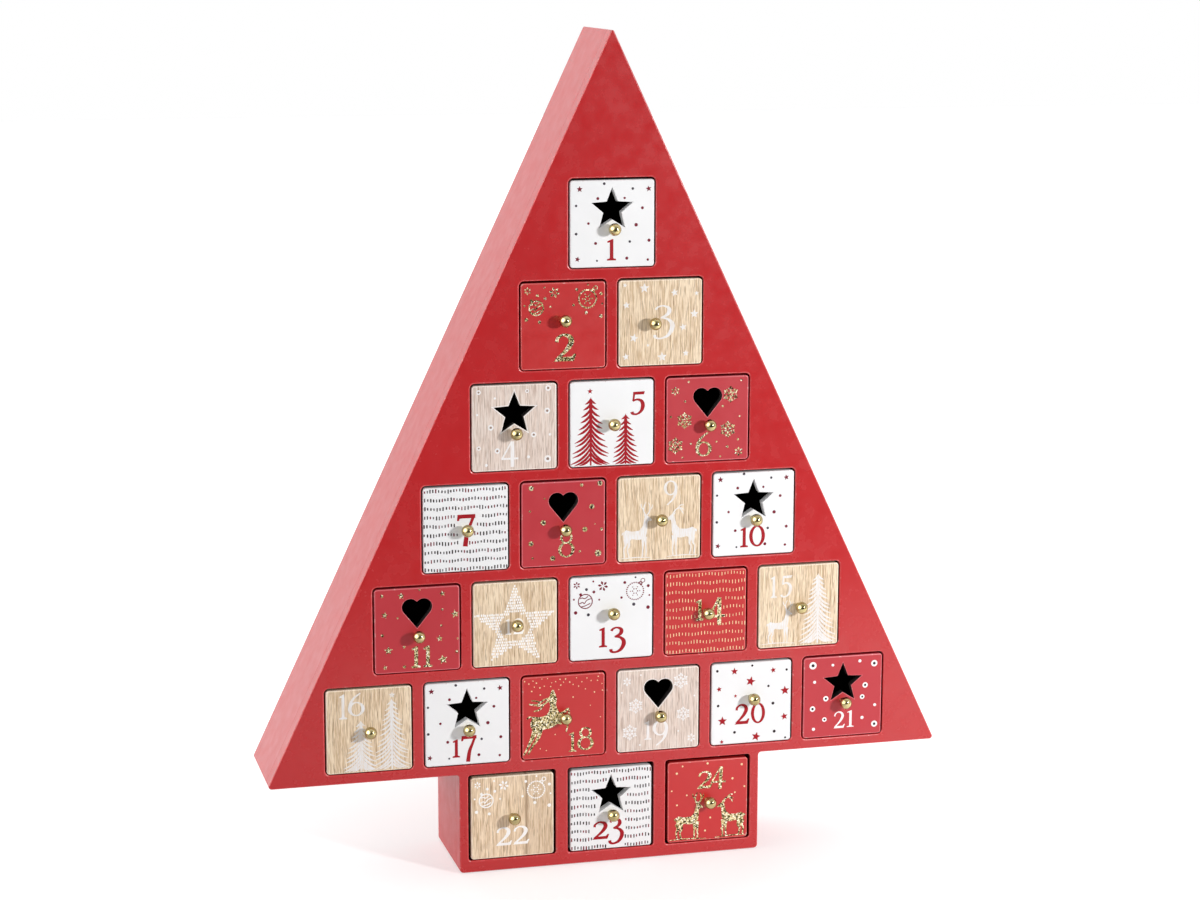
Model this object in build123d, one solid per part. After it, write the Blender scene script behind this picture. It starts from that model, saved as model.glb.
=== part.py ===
from build123d import *
import math
import os

# Tree-shaped advent calendar: a red cabinet with 24 small drawers.
# Millimetres. +X to the viewer's right, +Y to the back, +Z up.
# The origin is the centre of the trunk's underside.

# Lattice of drawer openings in the tree: the first row holds one, each row below one more
TREE_ROW_COUNT = 6
OPENING = 45.0
WEB = 5.45
OPENING_CORNER_R = 2.5

# Trunk row: its openings are a little larger than those of the tree
TRUNK_DRAWER_COUNT = 3
TRUNK_EXTRA_WIDTH = 1.0
TRUNK_EXTRA_HEIGHT = 0.5
TRUNK_POST = 6.35
TRUNK_WALL_T = 4.7
TRUNK_RAIL = 6.25
TRUNK_HEAD_BAR = 5.7

# Tree outline: the slopes pass these distances outside the upper corners of the first and last rows
TOP_ROW_MARGIN = 12.4
LOW_ROW_MARGIN = 5.85
BRANCH_RAIL = 5.1
TIP_R = 1.6
APEX_R = 0.9
TRUNK_FOOT_R = 2.0
TRUNK_NECK_R = 1.6

# Cabinet boards
CABINET_DEPTH = 56.0
PANEL_T = 9.0
PANEL_EDGE = 0.8
BACK_T = 3.0
SLOPE_T = 5.0
SHELF_T = 5.0
DIVIDER_T = 5.0
END_GUIDE_DROP = 11.0

# Drawer fronts
SIDE_GAP = 0.75
FOOT_GAP = 0.45
RUN_GAP = 0.3
FRONT_T = 5.0
FRONT_CORNER = 0.9
FRONT_EDGE = 0.4

# Drawer trays behind the fronts
TRAY_INSET = 0.5
TRAY_RIM_DROP = 5.5
TRAY_SIDE_T = 3.0
TRAY_BACK_T = 3.0
TRAY_BOTTOM_T = 3.0
STOP_GAP = 0.5

# Pierced fronts
STAR_DRAWERS = ("01", "04", "10", "17", "21", "23")
STAR_POINTS = 5
STAR_R = 11.2
STAR_NOTCH_R = 4.9
STAR_RISE = 7.0
HEART_DRAWERS = ("06", "08", "11", "19")
HEART_HEIGHT = 15.3
HEART_LOBE_R = 4.3
HEART_SPREAD_SHARE = 0.793
HEART_TIP_RISE = 0.8

# Small brass knobs: ball, waist, flange and the square tang that sets in the front
KNOB_SIDES = 12
BALL_R = 3.2
BALL_REACH = 5.2
BALL_RING_ANGLES = (-48, -18, 18, 46, 72)
WAIST_R = 1.3
WAIST_REACH = 1.7
FLANGE_R = 1.7
FLANGE_T = 0.5
TANG = 1.6
TANG_LENGTH = 3.6
TANG_CLEARANCE = 0.05

# Where the knob sits on its front
PIERCED_KNOB_DROP = 2.5
HIGH_KNOB_DRAWERS = ("02", "13", "20")
HIGH_KNOB_RISE = 3.0
LEFT_KNOB_DRAWERS = ("03",)
LEFT_KNOB_SHIFT = 4.0

# One overrun serves every cut; corners closer than touch are one corner
OVERRUN = 1.0
TOUCH = 0.001

# Places worked out from the sizes above
tree_rows = range(1, TREE_ROW_COUNT + 1)
pitch = OPENING + WEB
front_size = OPENING - 2 * SIDE_GAP
panel_front = -CABINET_DEPTH / 2
panel_rear = panel_front + PANEL_T
cabinet_rear = CABINET_DEPTH / 2
back_front = cabinet_rear - BACK_T

trunk_opening_width = OPENING + TRUNK_EXTRA_WIDTH
trunk_opening_height = OPENING + TRUNK_EXTRA_HEIGHT
trunk_pitch = trunk_opening_width + TRUNK_POST
trunk_half = (TRUNK_DRAWER_COUNT * trunk_pitch - TRUNK_POST) / 2 + TRUNK_WALL_T
trunk_inner = trunk_half - TRUNK_WALL_T

low_row_sill = TRUNK_RAIL + trunk_opening_height + TRUNK_HEAD_BAR
branch_level = low_row_sill - BRANCH_RAIL
row_sills = [low_row_sill + pitch * (TREE_ROW_COUNT - count) for count in tree_rows]
top_row_head = row_sills[0] + OPENING
low_row_head = row_sills[-1] + OPENING


def row_half_width(count):
    """Half the width from the outer edge of a row's first opening to that of its last."""
    return (count * pitch - WEB) / 2


top_corner = row_half_width(tree_rows[0]) + TOP_ROW_MARGIN
low_corner = row_half_width(tree_rows[-1]) + LOW_ROW_MARGIN
slope_run = (low_corner - top_corner) / (top_row_head - low_row_head)
slope_angle = math.atan(slope_run)
apex_level = top_row_head + top_corner / slope_run


def half_width(level, inset=0):
    """Half the tree's width at a level, measured to a face set in by inset from the slope."""
    return (apex_level - level) * slope_run - inset / math.cos(slope_angle)


def shelf_level(sill):
    """Top of the board that a drawer runs on, given its opening's lower edge."""
    return sill + FOOT_GAP - RUN_GAP


def drawer_level(sill):
    """Centre of a drawer's front, given its opening's lower edge."""
    return sill + FOOT_GAP + front_size / 2


low_shelf = shelf_level(low_row_sill)
trunk_floor_top = shelf_level(TRUNK_RAIL)
inner_apex = apex_level - SLOPE_T / math.sin(slope_angle)


def outline(points):
    """A closed flat outline in the front view, from its corners (x, z)."""
    return make_face(Polyline(*points, close=True))


def block(left, right, low, high):
    """A rectangle in the front view."""
    return outline([(left, low), (right, low), (right, high), (left, high)])


def board(face, front, rear):
    """A front-view outline made solid from depth front to depth rear."""
    return extrude(Plane.XZ.offset(-rear) * face, amount=rear - front)


def mirrored(face):
    """The same front-view outline on the other side of the tree."""
    return mirror(face, Plane.YZ)


def drawer_places():
    """Label, centre x and opening sill of every drawer, read row by row."""
    places = []
    for count, sill in zip(tree_rows, row_sills):
        for column in range(count):
            places.append(((column - (count - 1) / 2) * pitch, sill))
    for column in range(TRUNK_DRAWER_COUNT):
        places.append(((column - (TRUNK_DRAWER_COUNT - 1) / 2) * trunk_pitch, TRUNK_RAIL))
    return [(f"{place:02d}", x, sill) for place, (x, sill) in enumerate(places, start=1)]


def cabinet_outline():
    """Front view of the whole calendar: tree and trunk, with its corners rounded."""
    tip = half_width(branch_level)
    right = [(trunk_half, 0), (trunk_half, branch_level), (tip, branch_level), (0, apex_level)]
    left = [(-x, z) for x, z in reversed(right[:-1])]
    face = outline(right + left)
    radii = {
        (trunk_half, 0): TRUNK_FOOT_R,
        (trunk_half, branch_level): TRUNK_NECK_R,
        (tip, branch_level): TIP_R,
        (0, apex_level): APEX_R,
    }
    for (x, z), radius in radii.items():
        corners = [v for v in face.vertices() if math.hypot(abs(v.X) - x, v.Y - z) < TOUCH]
        face = fillet(corners, radius)
    return face


def opening_cuts():
    """Front views of the 24 openings."""
    cuts = []
    for label, x, sill in drawer_places():
        if sill in row_sills:
            hole = RectangleRounded(OPENING, OPENING, OPENING_CORNER_R)
            cuts.append(Pos(x, sill + OPENING / 2) * hole)
        else:
            hole = Rectangle(trunk_opening_width, trunk_opening_height)
            cuts.append(Pos(x, sill + trunk_opening_height / 2) * hole)
    return cuts


def foremost_face(solid):
    """The flat face nearest to the viewer."""
    return solid.faces().filter_by(Axis.Y).sort_by(Axis.Y)[0]


def make_front_panel(shape):
    """The cut panel, with its outer front edges eased."""
    panel = board(shape, panel_front, panel_rear)
    panel = chamfer(foremost_face(panel).outer_wire().edges(), PANEL_EDGE)
    for cut in opening_cuts():
        panel -= board(cut, panel_front - OVERRUN, panel_rear + OVERRUN)
    return panel


def make_walls(shape):
    """Sloping walls, eaves, trunk walls and trunk floor, behind the front panel."""
    tip = half_width(branch_level)
    inner_tip = half_width(branch_level, SLOPE_T)
    slope = outline([(0, apex_level), (tip, branch_level), (inner_tip, branch_level), (0, inner_apex)])
    eave_end = half_width(low_shelf, SLOPE_T)
    eave = outline(
        [(trunk_half, branch_level), (inner_tip, branch_level), (eave_end, low_shelf), (trunk_half, low_shelf)]
    )
    wall = block(trunk_inner, trunk_half, 0, low_shelf)
    floor = block(-trunk_inner, trunk_inner, 0, trunk_floor_top)
    walls = {}
    for side, turn in (("left", mirrored), ("right", lambda face: face)):
        walls[side + "_slope_wall"] = board(turn(slope) & shape, panel_rear, cabinet_rear)
        walls[side + "_eave"] = board(turn(eave), panel_rear, cabinet_rear)
        walls[side + "_trunk_wall"] = board(turn(wall) & shape, panel_rear, cabinet_rear)
    walls["trunk_floor"] = board(floor, panel_rear, cabinet_rear)
    return walls


def make_back_panel():
    """The thin back, let in between the walls and standing on the trunk's floor."""
    wide = half_width(low_shelf, SLOPE_T)
    right = [(trunk_inner, trunk_floor_top), (trunk_inner, low_shelf), (wide, low_shelf), (0, inner_apex)]
    left = [(-x, z) for x, z in reversed(right[:-1])]
    return board(outline(right + left), back_front, cabinet_rear)


def make_shelves():
    """A board under each row of the tree, one over the trunk and one over the top drawer."""
    levels = [shelf_level(sill) for sill in row_sills[:-1]]
    levels.insert(0, levels[0] + pitch)
    shelves = []
    for level in levels:
        top = half_width(level, SLOPE_T)
        under = half_width(level - SHELF_T, SLOPE_T)
        ends = [(-under, level - SHELF_T), (under, level - SHELF_T), (top, level), (-top, level)]
        shelves.append(board(outline(ends), panel_rear, back_front))
    over_trunk = block(-trunk_inner, trunk_inner, branch_level, low_shelf)
    shelves.append(board(over_trunk, panel_rear, back_front))
    return shelves


def make_tree_dividers():
    """Dividers between the drawers of each row, and a low guide outside its first and last drawer."""
    dividers = []
    for count, sill in zip(tree_rows, row_sills):
        foot = shelf_level(sill)
        head = foot + pitch - SHELF_T
        guide_head = foot + OPENING - END_GUIDE_DROP
        inside = outline(
            [
                (-half_width(foot, SLOPE_T), foot),
                (half_width(foot, SLOPE_T), foot),
                (half_width(guide_head, SLOPE_T), guide_head),
                (-half_width(guide_head, SLOPE_T), guide_head),
            ]
        )
        for place in range(count + 1):
            x = (place - count / 2) * pitch
            if place in (0, count):
                face = block(x - DIVIDER_T / 2, x + DIVIDER_T / 2, foot, guide_head) & inside
            else:
                face = block(x - DIVIDER_T / 2, x + DIVIDER_T / 2, foot, head)
            dividers.append(board(face, panel_rear, back_front))
    return dividers


def make_trunk_dividers():
    """Dividers between the drawers of the trunk."""
    dividers = []
    for place in range(1, TRUNK_DRAWER_COUNT):
        x = (place - TRUNK_DRAWER_COUNT / 2) * trunk_pitch
        face = block(x - DIVIDER_T / 2, x + DIVIDER_T / 2, trunk_floor_top, branch_level)
        dividers.append(board(face, panel_rear, back_front))
    return dividers


def star_cut():
    """Five-pointed star, centred on its own middle, one point up."""
    points = []
    for step in range(2 * STAR_POINTS):
        radius = STAR_R if step % 2 == 0 else STAR_NOTCH_R
        angle = math.pi / 2 + step * math.pi / STAR_POINTS
        points.append((radius * math.cos(angle), radius * math.sin(angle)))
    return outline(points)


def heart_cut():
    """Heart with its tip at the origin: two round lobes and straight flanks that touch them."""
    lobe_x = HEART_LOBE_R * HEART_SPREAD_SHARE
    lobe_z = HEART_HEIGHT - HEART_LOBE_R
    reach = math.hypot(lobe_x, lobe_z)
    flank_length = math.sqrt(reach**2 - HEART_LOBE_R**2)
    flank_angle = math.atan2(lobe_z, lobe_x) - math.asin(HEART_LOBE_R / reach)
    flank = (flank_length * math.cos(flank_angle), flank_length * math.sin(flank_angle))
    cleft = (0, lobe_z + math.sqrt(HEART_LOBE_R**2 - lobe_x**2))
    shoulder = math.pi / 4
    crown = (lobe_x + HEART_LOBE_R * math.cos(shoulder), lobe_z + HEART_LOBE_R * math.sin(shoulder))
    half = ThreePointArc(cleft, crown, flank) + Line(flank, (0, 0))
    return make_face(half + mirror(half, Plane.YZ))


def knob_place(label):
    """Where the knob sits on its front, from the front's centre."""
    if label in STAR_DRAWERS or label in HEART_DRAWERS:
        return (0, -PIERCED_KNOB_DROP)
    if label in HIGH_KNOB_DRAWERS:
        return (0, HIGH_KNOB_RISE)
    if label in LEFT_KNOB_DRAWERS:
        return (-LEFT_KNOB_SHIFT, 0)
    return (0, 0)


def make_drawer(label, x, sill):
    """Front, two sides, back and bottom of one drawer, as separate boards."""
    centre = drawer_level(sill)
    knob_x, knob_z = knob_place(label)
    face = Rectangle(front_size, front_size)
    face = chamfer(face.vertices(), FRONT_CORNER)
    if label in STAR_DRAWERS:
        face -= Pos(0, STAR_RISE) * star_cut()
    if label in HEART_DRAWERS:
        face -= Pos(0, HEART_TIP_RISE) * heart_cut()
    front_rear = panel_front + FRONT_T
    front = board(Pos(x, centre) * face, panel_front, front_rear)
    front = chamfer(foremost_face(front).outer_wire().edges(), FRONT_EDGE)
    slot = TANG + 2 * TANG_CLEARANCE
    tang_hole = Pos(x + knob_x, centre + knob_z) * Rectangle(slot, slot)
    front -= board(tang_hole, panel_front - OVERRUN, panel_front + TANG_LENGTH + TANG_CLEARANCE)

    half = front_size / 2 - TRAY_INSET
    inner = half - TRAY_SIDE_T
    foot = centre - front_size / 2
    floor = foot + TRAY_BOTTOM_T
    rim = foot + front_size - TRAY_RIM_DROP
    rear = back_front - STOP_GAP
    back_inside = rear - TRAY_BACK_T
    left_side = board(block(x - half, x - inner, foot, rim), front_rear, rear)
    right_side = board(block(x + inner, x + half, foot, rim), front_rear, rear)
    bottom = board(block(x - inner, x + inner, foot, floor), front_rear, rear)
    back = board(block(x - inner, x + inner, floor, rim), back_inside, rear)
    return [front, left_side, right_side, bottom, back]


def knob_ring(x, z, reach, radius):
    """Corners of one ring of a knob, standing off the drawer's front by reach."""
    turns = [2 * math.pi * (side + 1 / 2) / KNOB_SIDES for side in range(KNOB_SIDES)]
    return [(x + radius * math.cos(t), panel_front - reach, z + radius * math.sin(t)) for t in turns]


def flat(corners):
    """A flat face between corners."""
    return make_face(Polyline(*corners, close=True)).face()


def make_knob(label, x, sill):
    """One knob, as bands of flats from flange to waist to ball, and its tang."""
    knob_x, knob_z = knob_place(label)
    middle = Pos(x + knob_x, drawer_level(sill) + knob_z)
    rings = [(0, FLANGE_R), (FLANGE_T, FLANGE_R), (WAIST_REACH, WAIST_R)]
    for angle in BALL_RING_ANGLES:
        turn = math.radians(angle)
        rings.append((BALL_REACH + BALL_R * math.sin(turn), BALL_R * math.cos(turn)))
    corners = [knob_ring(x + knob_x, drawer_level(sill) + knob_z, *ring) for ring in rings]
    flats = [flat(corners[0]), flat(corners[-1])]
    for near, far in zip(corners, corners[1:]):
        for side in range(KNOB_SIDES):
            flats.append(flat([near[side - 1], near[side], far[side], far[side - 1]]))
    tang = board(middle * Rectangle(TANG, TANG), panel_front, panel_front + TANG_LENGTH)
    return Solid(Shell(flats)) + tang


def write(name, shape):
    """Writes one sub-part."""
    export_step(shape, "parts/" + name + ".step")


os.makedirs("parts", exist_ok=True)
shape = cabinet_outline()
write("front_panel", make_front_panel(shape))
write("back_panel", make_back_panel())
for name, wall in make_walls(shape).items():
    write(name, wall)
write("shelves", Compound(children=make_shelves()))
write("tree_dividers", Compound(children=make_tree_dividers()))
write("trunk_dividers", Compound(children=make_trunk_dividers()))
for label, x, sill in drawer_places():
    write("drawer_" + label + "_box", Compound(children=make_drawer(label, x, sill)))
    write("drawer_" + label + "_knob", make_knob(label, x, sill))
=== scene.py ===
import math
import random

import bpy
from mathutils import Matrix, Vector
from mathutils.geometry import delaunay_2d_cdt, tessellate_polygon


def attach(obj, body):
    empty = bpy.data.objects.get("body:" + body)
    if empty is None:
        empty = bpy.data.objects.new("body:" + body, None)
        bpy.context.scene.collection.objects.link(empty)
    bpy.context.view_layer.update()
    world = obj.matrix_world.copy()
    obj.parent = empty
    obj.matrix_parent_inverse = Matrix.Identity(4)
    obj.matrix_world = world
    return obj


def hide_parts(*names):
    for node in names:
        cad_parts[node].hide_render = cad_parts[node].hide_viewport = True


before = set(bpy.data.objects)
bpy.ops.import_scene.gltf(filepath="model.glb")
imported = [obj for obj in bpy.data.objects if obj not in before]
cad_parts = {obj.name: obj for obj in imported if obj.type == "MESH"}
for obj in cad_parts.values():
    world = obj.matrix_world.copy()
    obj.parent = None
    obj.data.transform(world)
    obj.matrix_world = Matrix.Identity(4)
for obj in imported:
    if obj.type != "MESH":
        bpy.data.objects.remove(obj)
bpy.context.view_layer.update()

# Tree-shaped advent calendar. Sizes are in millimetres and become metres when a piece is made.
MM = 0.001

# Sizes of the cabinet and the drawers, as their solids have them
OPENING, WEB, OPENING_CORNER_R = 45.0, 5.45, 2.5
ROW_COUNT, TRUNK_COUNT = 6, 3
TRUNK_EXTRA_WIDTH, TRUNK_EXTRA_HEIGHT = 1.0, 0.5
TRUNK_POST, TRUNK_WALL_T, TRUNK_RAIL, TRUNK_HEAD_BAR = 6.35, 4.7, 6.25, 5.7
TOP_ROW_MARGIN, LOW_ROW_MARGIN, BRANCH_RAIL = 12.4, 5.85, 5.1
TIP_R, APEX_R, TRUNK_FOOT_R, TRUNK_NECK_R = 1.6, 0.9, 2.0, 1.6
DEPTH, PANEL_T, BACK_T, SLOPE_T = 56.0, 9.0, 3.0, 5.0
SIDE_GAP, FOOT_GAP, RUN_GAP, FRONT_T = 0.75, 0.45, 0.3, 5.0
TRAY_INSET, TRAY_RIM_DROP, TRAY_T, STOP_GAP = 0.5, 5.5, 3.0, 0.5
STAR_R, STAR_NOTCH_R, STAR_RISE = 11.2, 4.9, 7.0
HEART_HEIGHT, HEART_LOBE_R, HEART_SPREAD_SHARE, HEART_TIP_RISE = 15.3, 4.3, 0.793, 0.8
PIERCED_KNOB_DROP, HIGH_KNOB_RISE, LEFT_KNOB_SHIFT = 2.5, 3.0, 4.0

# Knobs: reach off the front and radius along the foot and waist, then the ball, which starts behind its middle
KNOB_FOOT = [(-0.3, 1.6), (0.1, 1.68), (0.3, 1.7), (0.5, 1.64), (0.7, 1.5), (1.1, 1.36), (1.7, 1.3), (2.1, 1.38)]
BALL_R, BALL_REACH, BALL_START = 3.2, 5.2, math.radians(-60)
BALL_STEPS, KNOB_SIDES = 13, 28

# Softened edges. Rings of points EDGE_HOLD away keep the wall between two soft edges flat, and LEAST_MITRE keeps
# sharp corners from running far out.
PANEL_EASE, RIM_EASE, JOINT_EASE = 0.6, 0.7, 0.2
FRONT_CORNER_R, FRONT_EASE, CUT_EASE, BOARD_EASE = 1.5, 0.6, 0.25, 0.3
EDGE_HOLD, SHARP_ANGLE, LEAST_MITRE = 0.3, math.radians(38), 0.2
EASE_STEPS, CORNER_STEPS, HEART_STEPS, PEN_STEPS, STAR_POINTS = 4, 6, 14, 7, 5

# Printing lies on the fronts like a thin film. A white rim round two of the cuts is a painted highlight along their
# edges
INK_T, INK_SINK, INK_STEP = 0.06, 0.03, 0.006
FILM_TOLERANCE = 0.001
STAR_HIGHLIGHT_RIM, HEART_HIGHLIGHT_RIM = 0.55, 0.5

# Drawers by their cut and by the place of their knob, and the one whose veneer has a dark band
STARS, HEARTS = (1, 4, 10, 17, 21, 23), (6, 8, 11, 19)
HIGH_KNOBS, LEFT_KNOBS = (2, 13, 20), (3,)
BANDED_DRAWER, BAND_X, BAND_FULL_X, BAND_LINE_X = 22, -47.0, -46.0, -45.4

pitch = OPENING + WEB
front_size = OPENING - 2 * SIDE_GAP
panel_front, panel_rear = -DEPTH / 2, -DEPTH / 2 + PANEL_T
front_rear = panel_front + FRONT_T
cabinet_rear, back_front = DEPTH / 2, DEPTH / 2 - BACK_T
trunk_pitch = OPENING + TRUNK_EXTRA_WIDTH + TRUNK_POST
trunk_half = (TRUNK_COUNT * trunk_pitch - TRUNK_POST) / 2 + TRUNK_WALL_T
trunk_inner = trunk_half - TRUNK_WALL_T
low_sill = TRUNK_RAIL + OPENING + TRUNK_EXTRA_HEIGHT + TRUNK_HEAD_BAR
branch_level = low_sill - BRANCH_RAIL
sills = [low_sill + pitch * (ROW_COUNT - row) for row in range(1, ROW_COUNT + 1)]
top_corner = OPENING / 2 + TOP_ROW_MARGIN
low_corner = (ROW_COUNT * pitch - WEB) / 2 + LOW_ROW_MARGIN
slope_run = (low_corner - top_corner) / (sills[0] - sills[-1])
slope_angle = math.atan(slope_run)
apex_level = sills[0] + OPENING + top_corner / slope_run
inner_apex = apex_level - SLOPE_T / math.sin(slope_angle)
low_shelf = low_sill + FOOT_GAP - RUN_GAP
trunk_floor_top = TRUNK_RAIL + FOOT_GAP - RUN_GAP


def half_width(level, inset=0.0):
    """Half the tree's width at a level, to a face set in by inset from the slope."""
    return (apex_level - level) * slope_run - inset / math.cos(slope_angle)


def drawer_places():
    """Number, centre and opening sill of each drawer."""
    places = []
    for row, sill in enumerate(sills, start=1):
        places += [((column - (row - 1) / 2) * pitch, sill) for column in range(row)]
    places += [((column - (TRUNK_COUNT - 1) / 2) * trunk_pitch, TRUNK_RAIL) for column in range(TRUNK_COUNT)]
    return [(n, x, sill + FOOT_GAP + front_size / 2, sill) for n, (x, sill) in enumerate(places, start=1)]


# Flat outlines, as lists of (x, z) corners


def area(loop):
    """Signed area of a loop: above zero where it runs anticlockwise as seen from the front."""
    return sum(a[0] * b[1] - b[0] * a[1] for a, b in zip(loop, loop[1:] + loop[:1])) / 2


def ccw(loop):
    return list(loop) if area(list(loop)) > 0 else list(loop)[::-1]


def cw(loop):
    return ccw(loop)[::-1]


def offset(loop, distance):
    """The loop with each side moved to its left by distance."""
    if not distance:
        return list(loop)
    moved = []
    for before, here, after in zip(loop[-1:] + loop[:-1], loop, loop[1:] + loop[:1]):
        u = (Vector(here) - Vector(before)).normalized()
        v = (Vector(after) - Vector(here)).normalized()
        left = Vector((-u.y - v.y, u.x + v.x))
        reach = distance / max(1 + u.dot(v), LEAST_MITRE)
        moved.append((here[0] + left.x * reach, here[1] + left.y * reach))
    return moved


def rounded(corners, radii):
    """A closed loop with its corners rounded."""
    loop = []
    count = len(corners)
    for i, (corner, radius) in enumerate(zip(corners, radii)):
        here = Vector(corner)
        u = (here - Vector(corners[i - 1])).normalized()
        v = (Vector(corners[(i + 1) % count]) - here).normalized()
        turn = math.atan2(u.x * v.y - u.y * v.x, u.dot(v))
        if radius <= 0:
            loop.append(tuple(here))
            continue
        side = 1 if turn > 0 else -1
        start = here - u * radius * math.tan(abs(turn) / 2)
        arm = Vector((u.y, -u.x)) * radius * side
        centre = start - arm
        for k in range(CORNER_STEPS + 1):
            spoke = arm.copy()
            spoke.rotate(Matrix.Rotation(turn * k / CORNER_STEPS, 2))
            loop.append(tuple(centre + spoke))
    return loop


def rectangle(left, right, low, high, radius=0.0):
    corners = [(left, low), (right, low), (right, high), (left, high)]
    return rounded(corners, [radius] * 4) if radius else corners


def ellipse(x, z, rx, rz, count):
    turns = [2 * math.pi * k / count for k in range(count)]
    return [(x + rx * math.cos(t), z + rz * math.sin(t)) for t in turns]


def star(x, z, radius, notch, turn=0.0):
    loop = []
    for k in range(2 * STAR_POINTS):
        r = radius if k % 2 == 0 else radius * notch
        t = math.pi / 2 + turn + k * math.pi / STAR_POINTS
        loop.append((x + r * math.cos(t), z + r * math.sin(t)))
    return loop


def heart(x, z):
    """Heart with its tip at (x, z), of the size that is cut in the fronts."""
    lobe_x, lobe_z = HEART_LOBE_R * HEART_SPREAD_SHARE, HEART_HEIGHT - HEART_LOBE_R
    reach = math.hypot(lobe_x, lobe_z)
    touch = math.atan2(lobe_z, lobe_x) - math.asin(HEART_LOBE_R / reach) - math.pi / 2
    cleft = math.pi - math.acos(lobe_x / HEART_LOBE_R)
    half = []
    for k in range(HEART_STEPS + 1):
        t = touch + (cleft - touch) * k / HEART_STEPS
        half.append((lobe_x + HEART_LOBE_R * math.cos(t), lobe_z + HEART_LOBE_R * math.sin(t)))
    loop = [(0.0, 0.0)] + half + [(-a, b) for a, b in reversed(half[:-1])]
    return [(x + a, z + b) for a, b in loop]


def curve(points, steps):
    """Points along a smooth open line through the given ones; each point may carry further values."""
    line = []
    last = len(points) - 1
    for i in range(last):
        p = [points[max(i - 1, 0)], points[i], points[i + 1], points[min(i + 2, last)]]
        for k in range(steps + (i == last - 1)):
            t = k / steps
            weights = (
                (-t + 2 * t**2 - t**3) / 2,
                (2 - 5 * t**2 + 3 * t**3) / 2,
                (t + 4 * t**2 - 3 * t**3) / 2,
                (t**3 - t**2) / 2,
            )
            line.append(tuple(sum(w * q[j] for w, q in zip(weights, p)) for j in range(len(points[0]))))
    return line


def stroke(points, steps):
    """Outline of a pen stroke through points (x, z, width)."""
    line = curve(points, steps)
    left, right = [], []
    for i, (x, z, width) in enumerate(line):
        ahead, behind = line[min(i + 1, len(line) - 1)], line[max(i - 1, 0)]
        along = Vector((ahead[0] - behind[0], ahead[1] - behind[1])).normalized()
        left.append((x - along.y * width / 2, z + along.x * width / 2))
        right.append((x + along.y * width / 2, z - along.x * width / 2))
    return left + right[::-1]


def inside(spot, loop):
    """Whether a spot lies in a loop."""
    x, z = spot
    within = False
    for (ax, az), (bx, bz) in zip(loop, loop[1:] + loop[:1]):
        if (az > z) != (bz > z) and x < ax + (z - az) / (bz - az) * (bx - ax):
            within = not within
    return within


# Pieces built from outlines


def linked(name, data):
    """A new object in the scene."""
    made = bpy.data.objects.new(name, data)
    bpy.context.scene.collection.objects.link(made)
    return made


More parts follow.
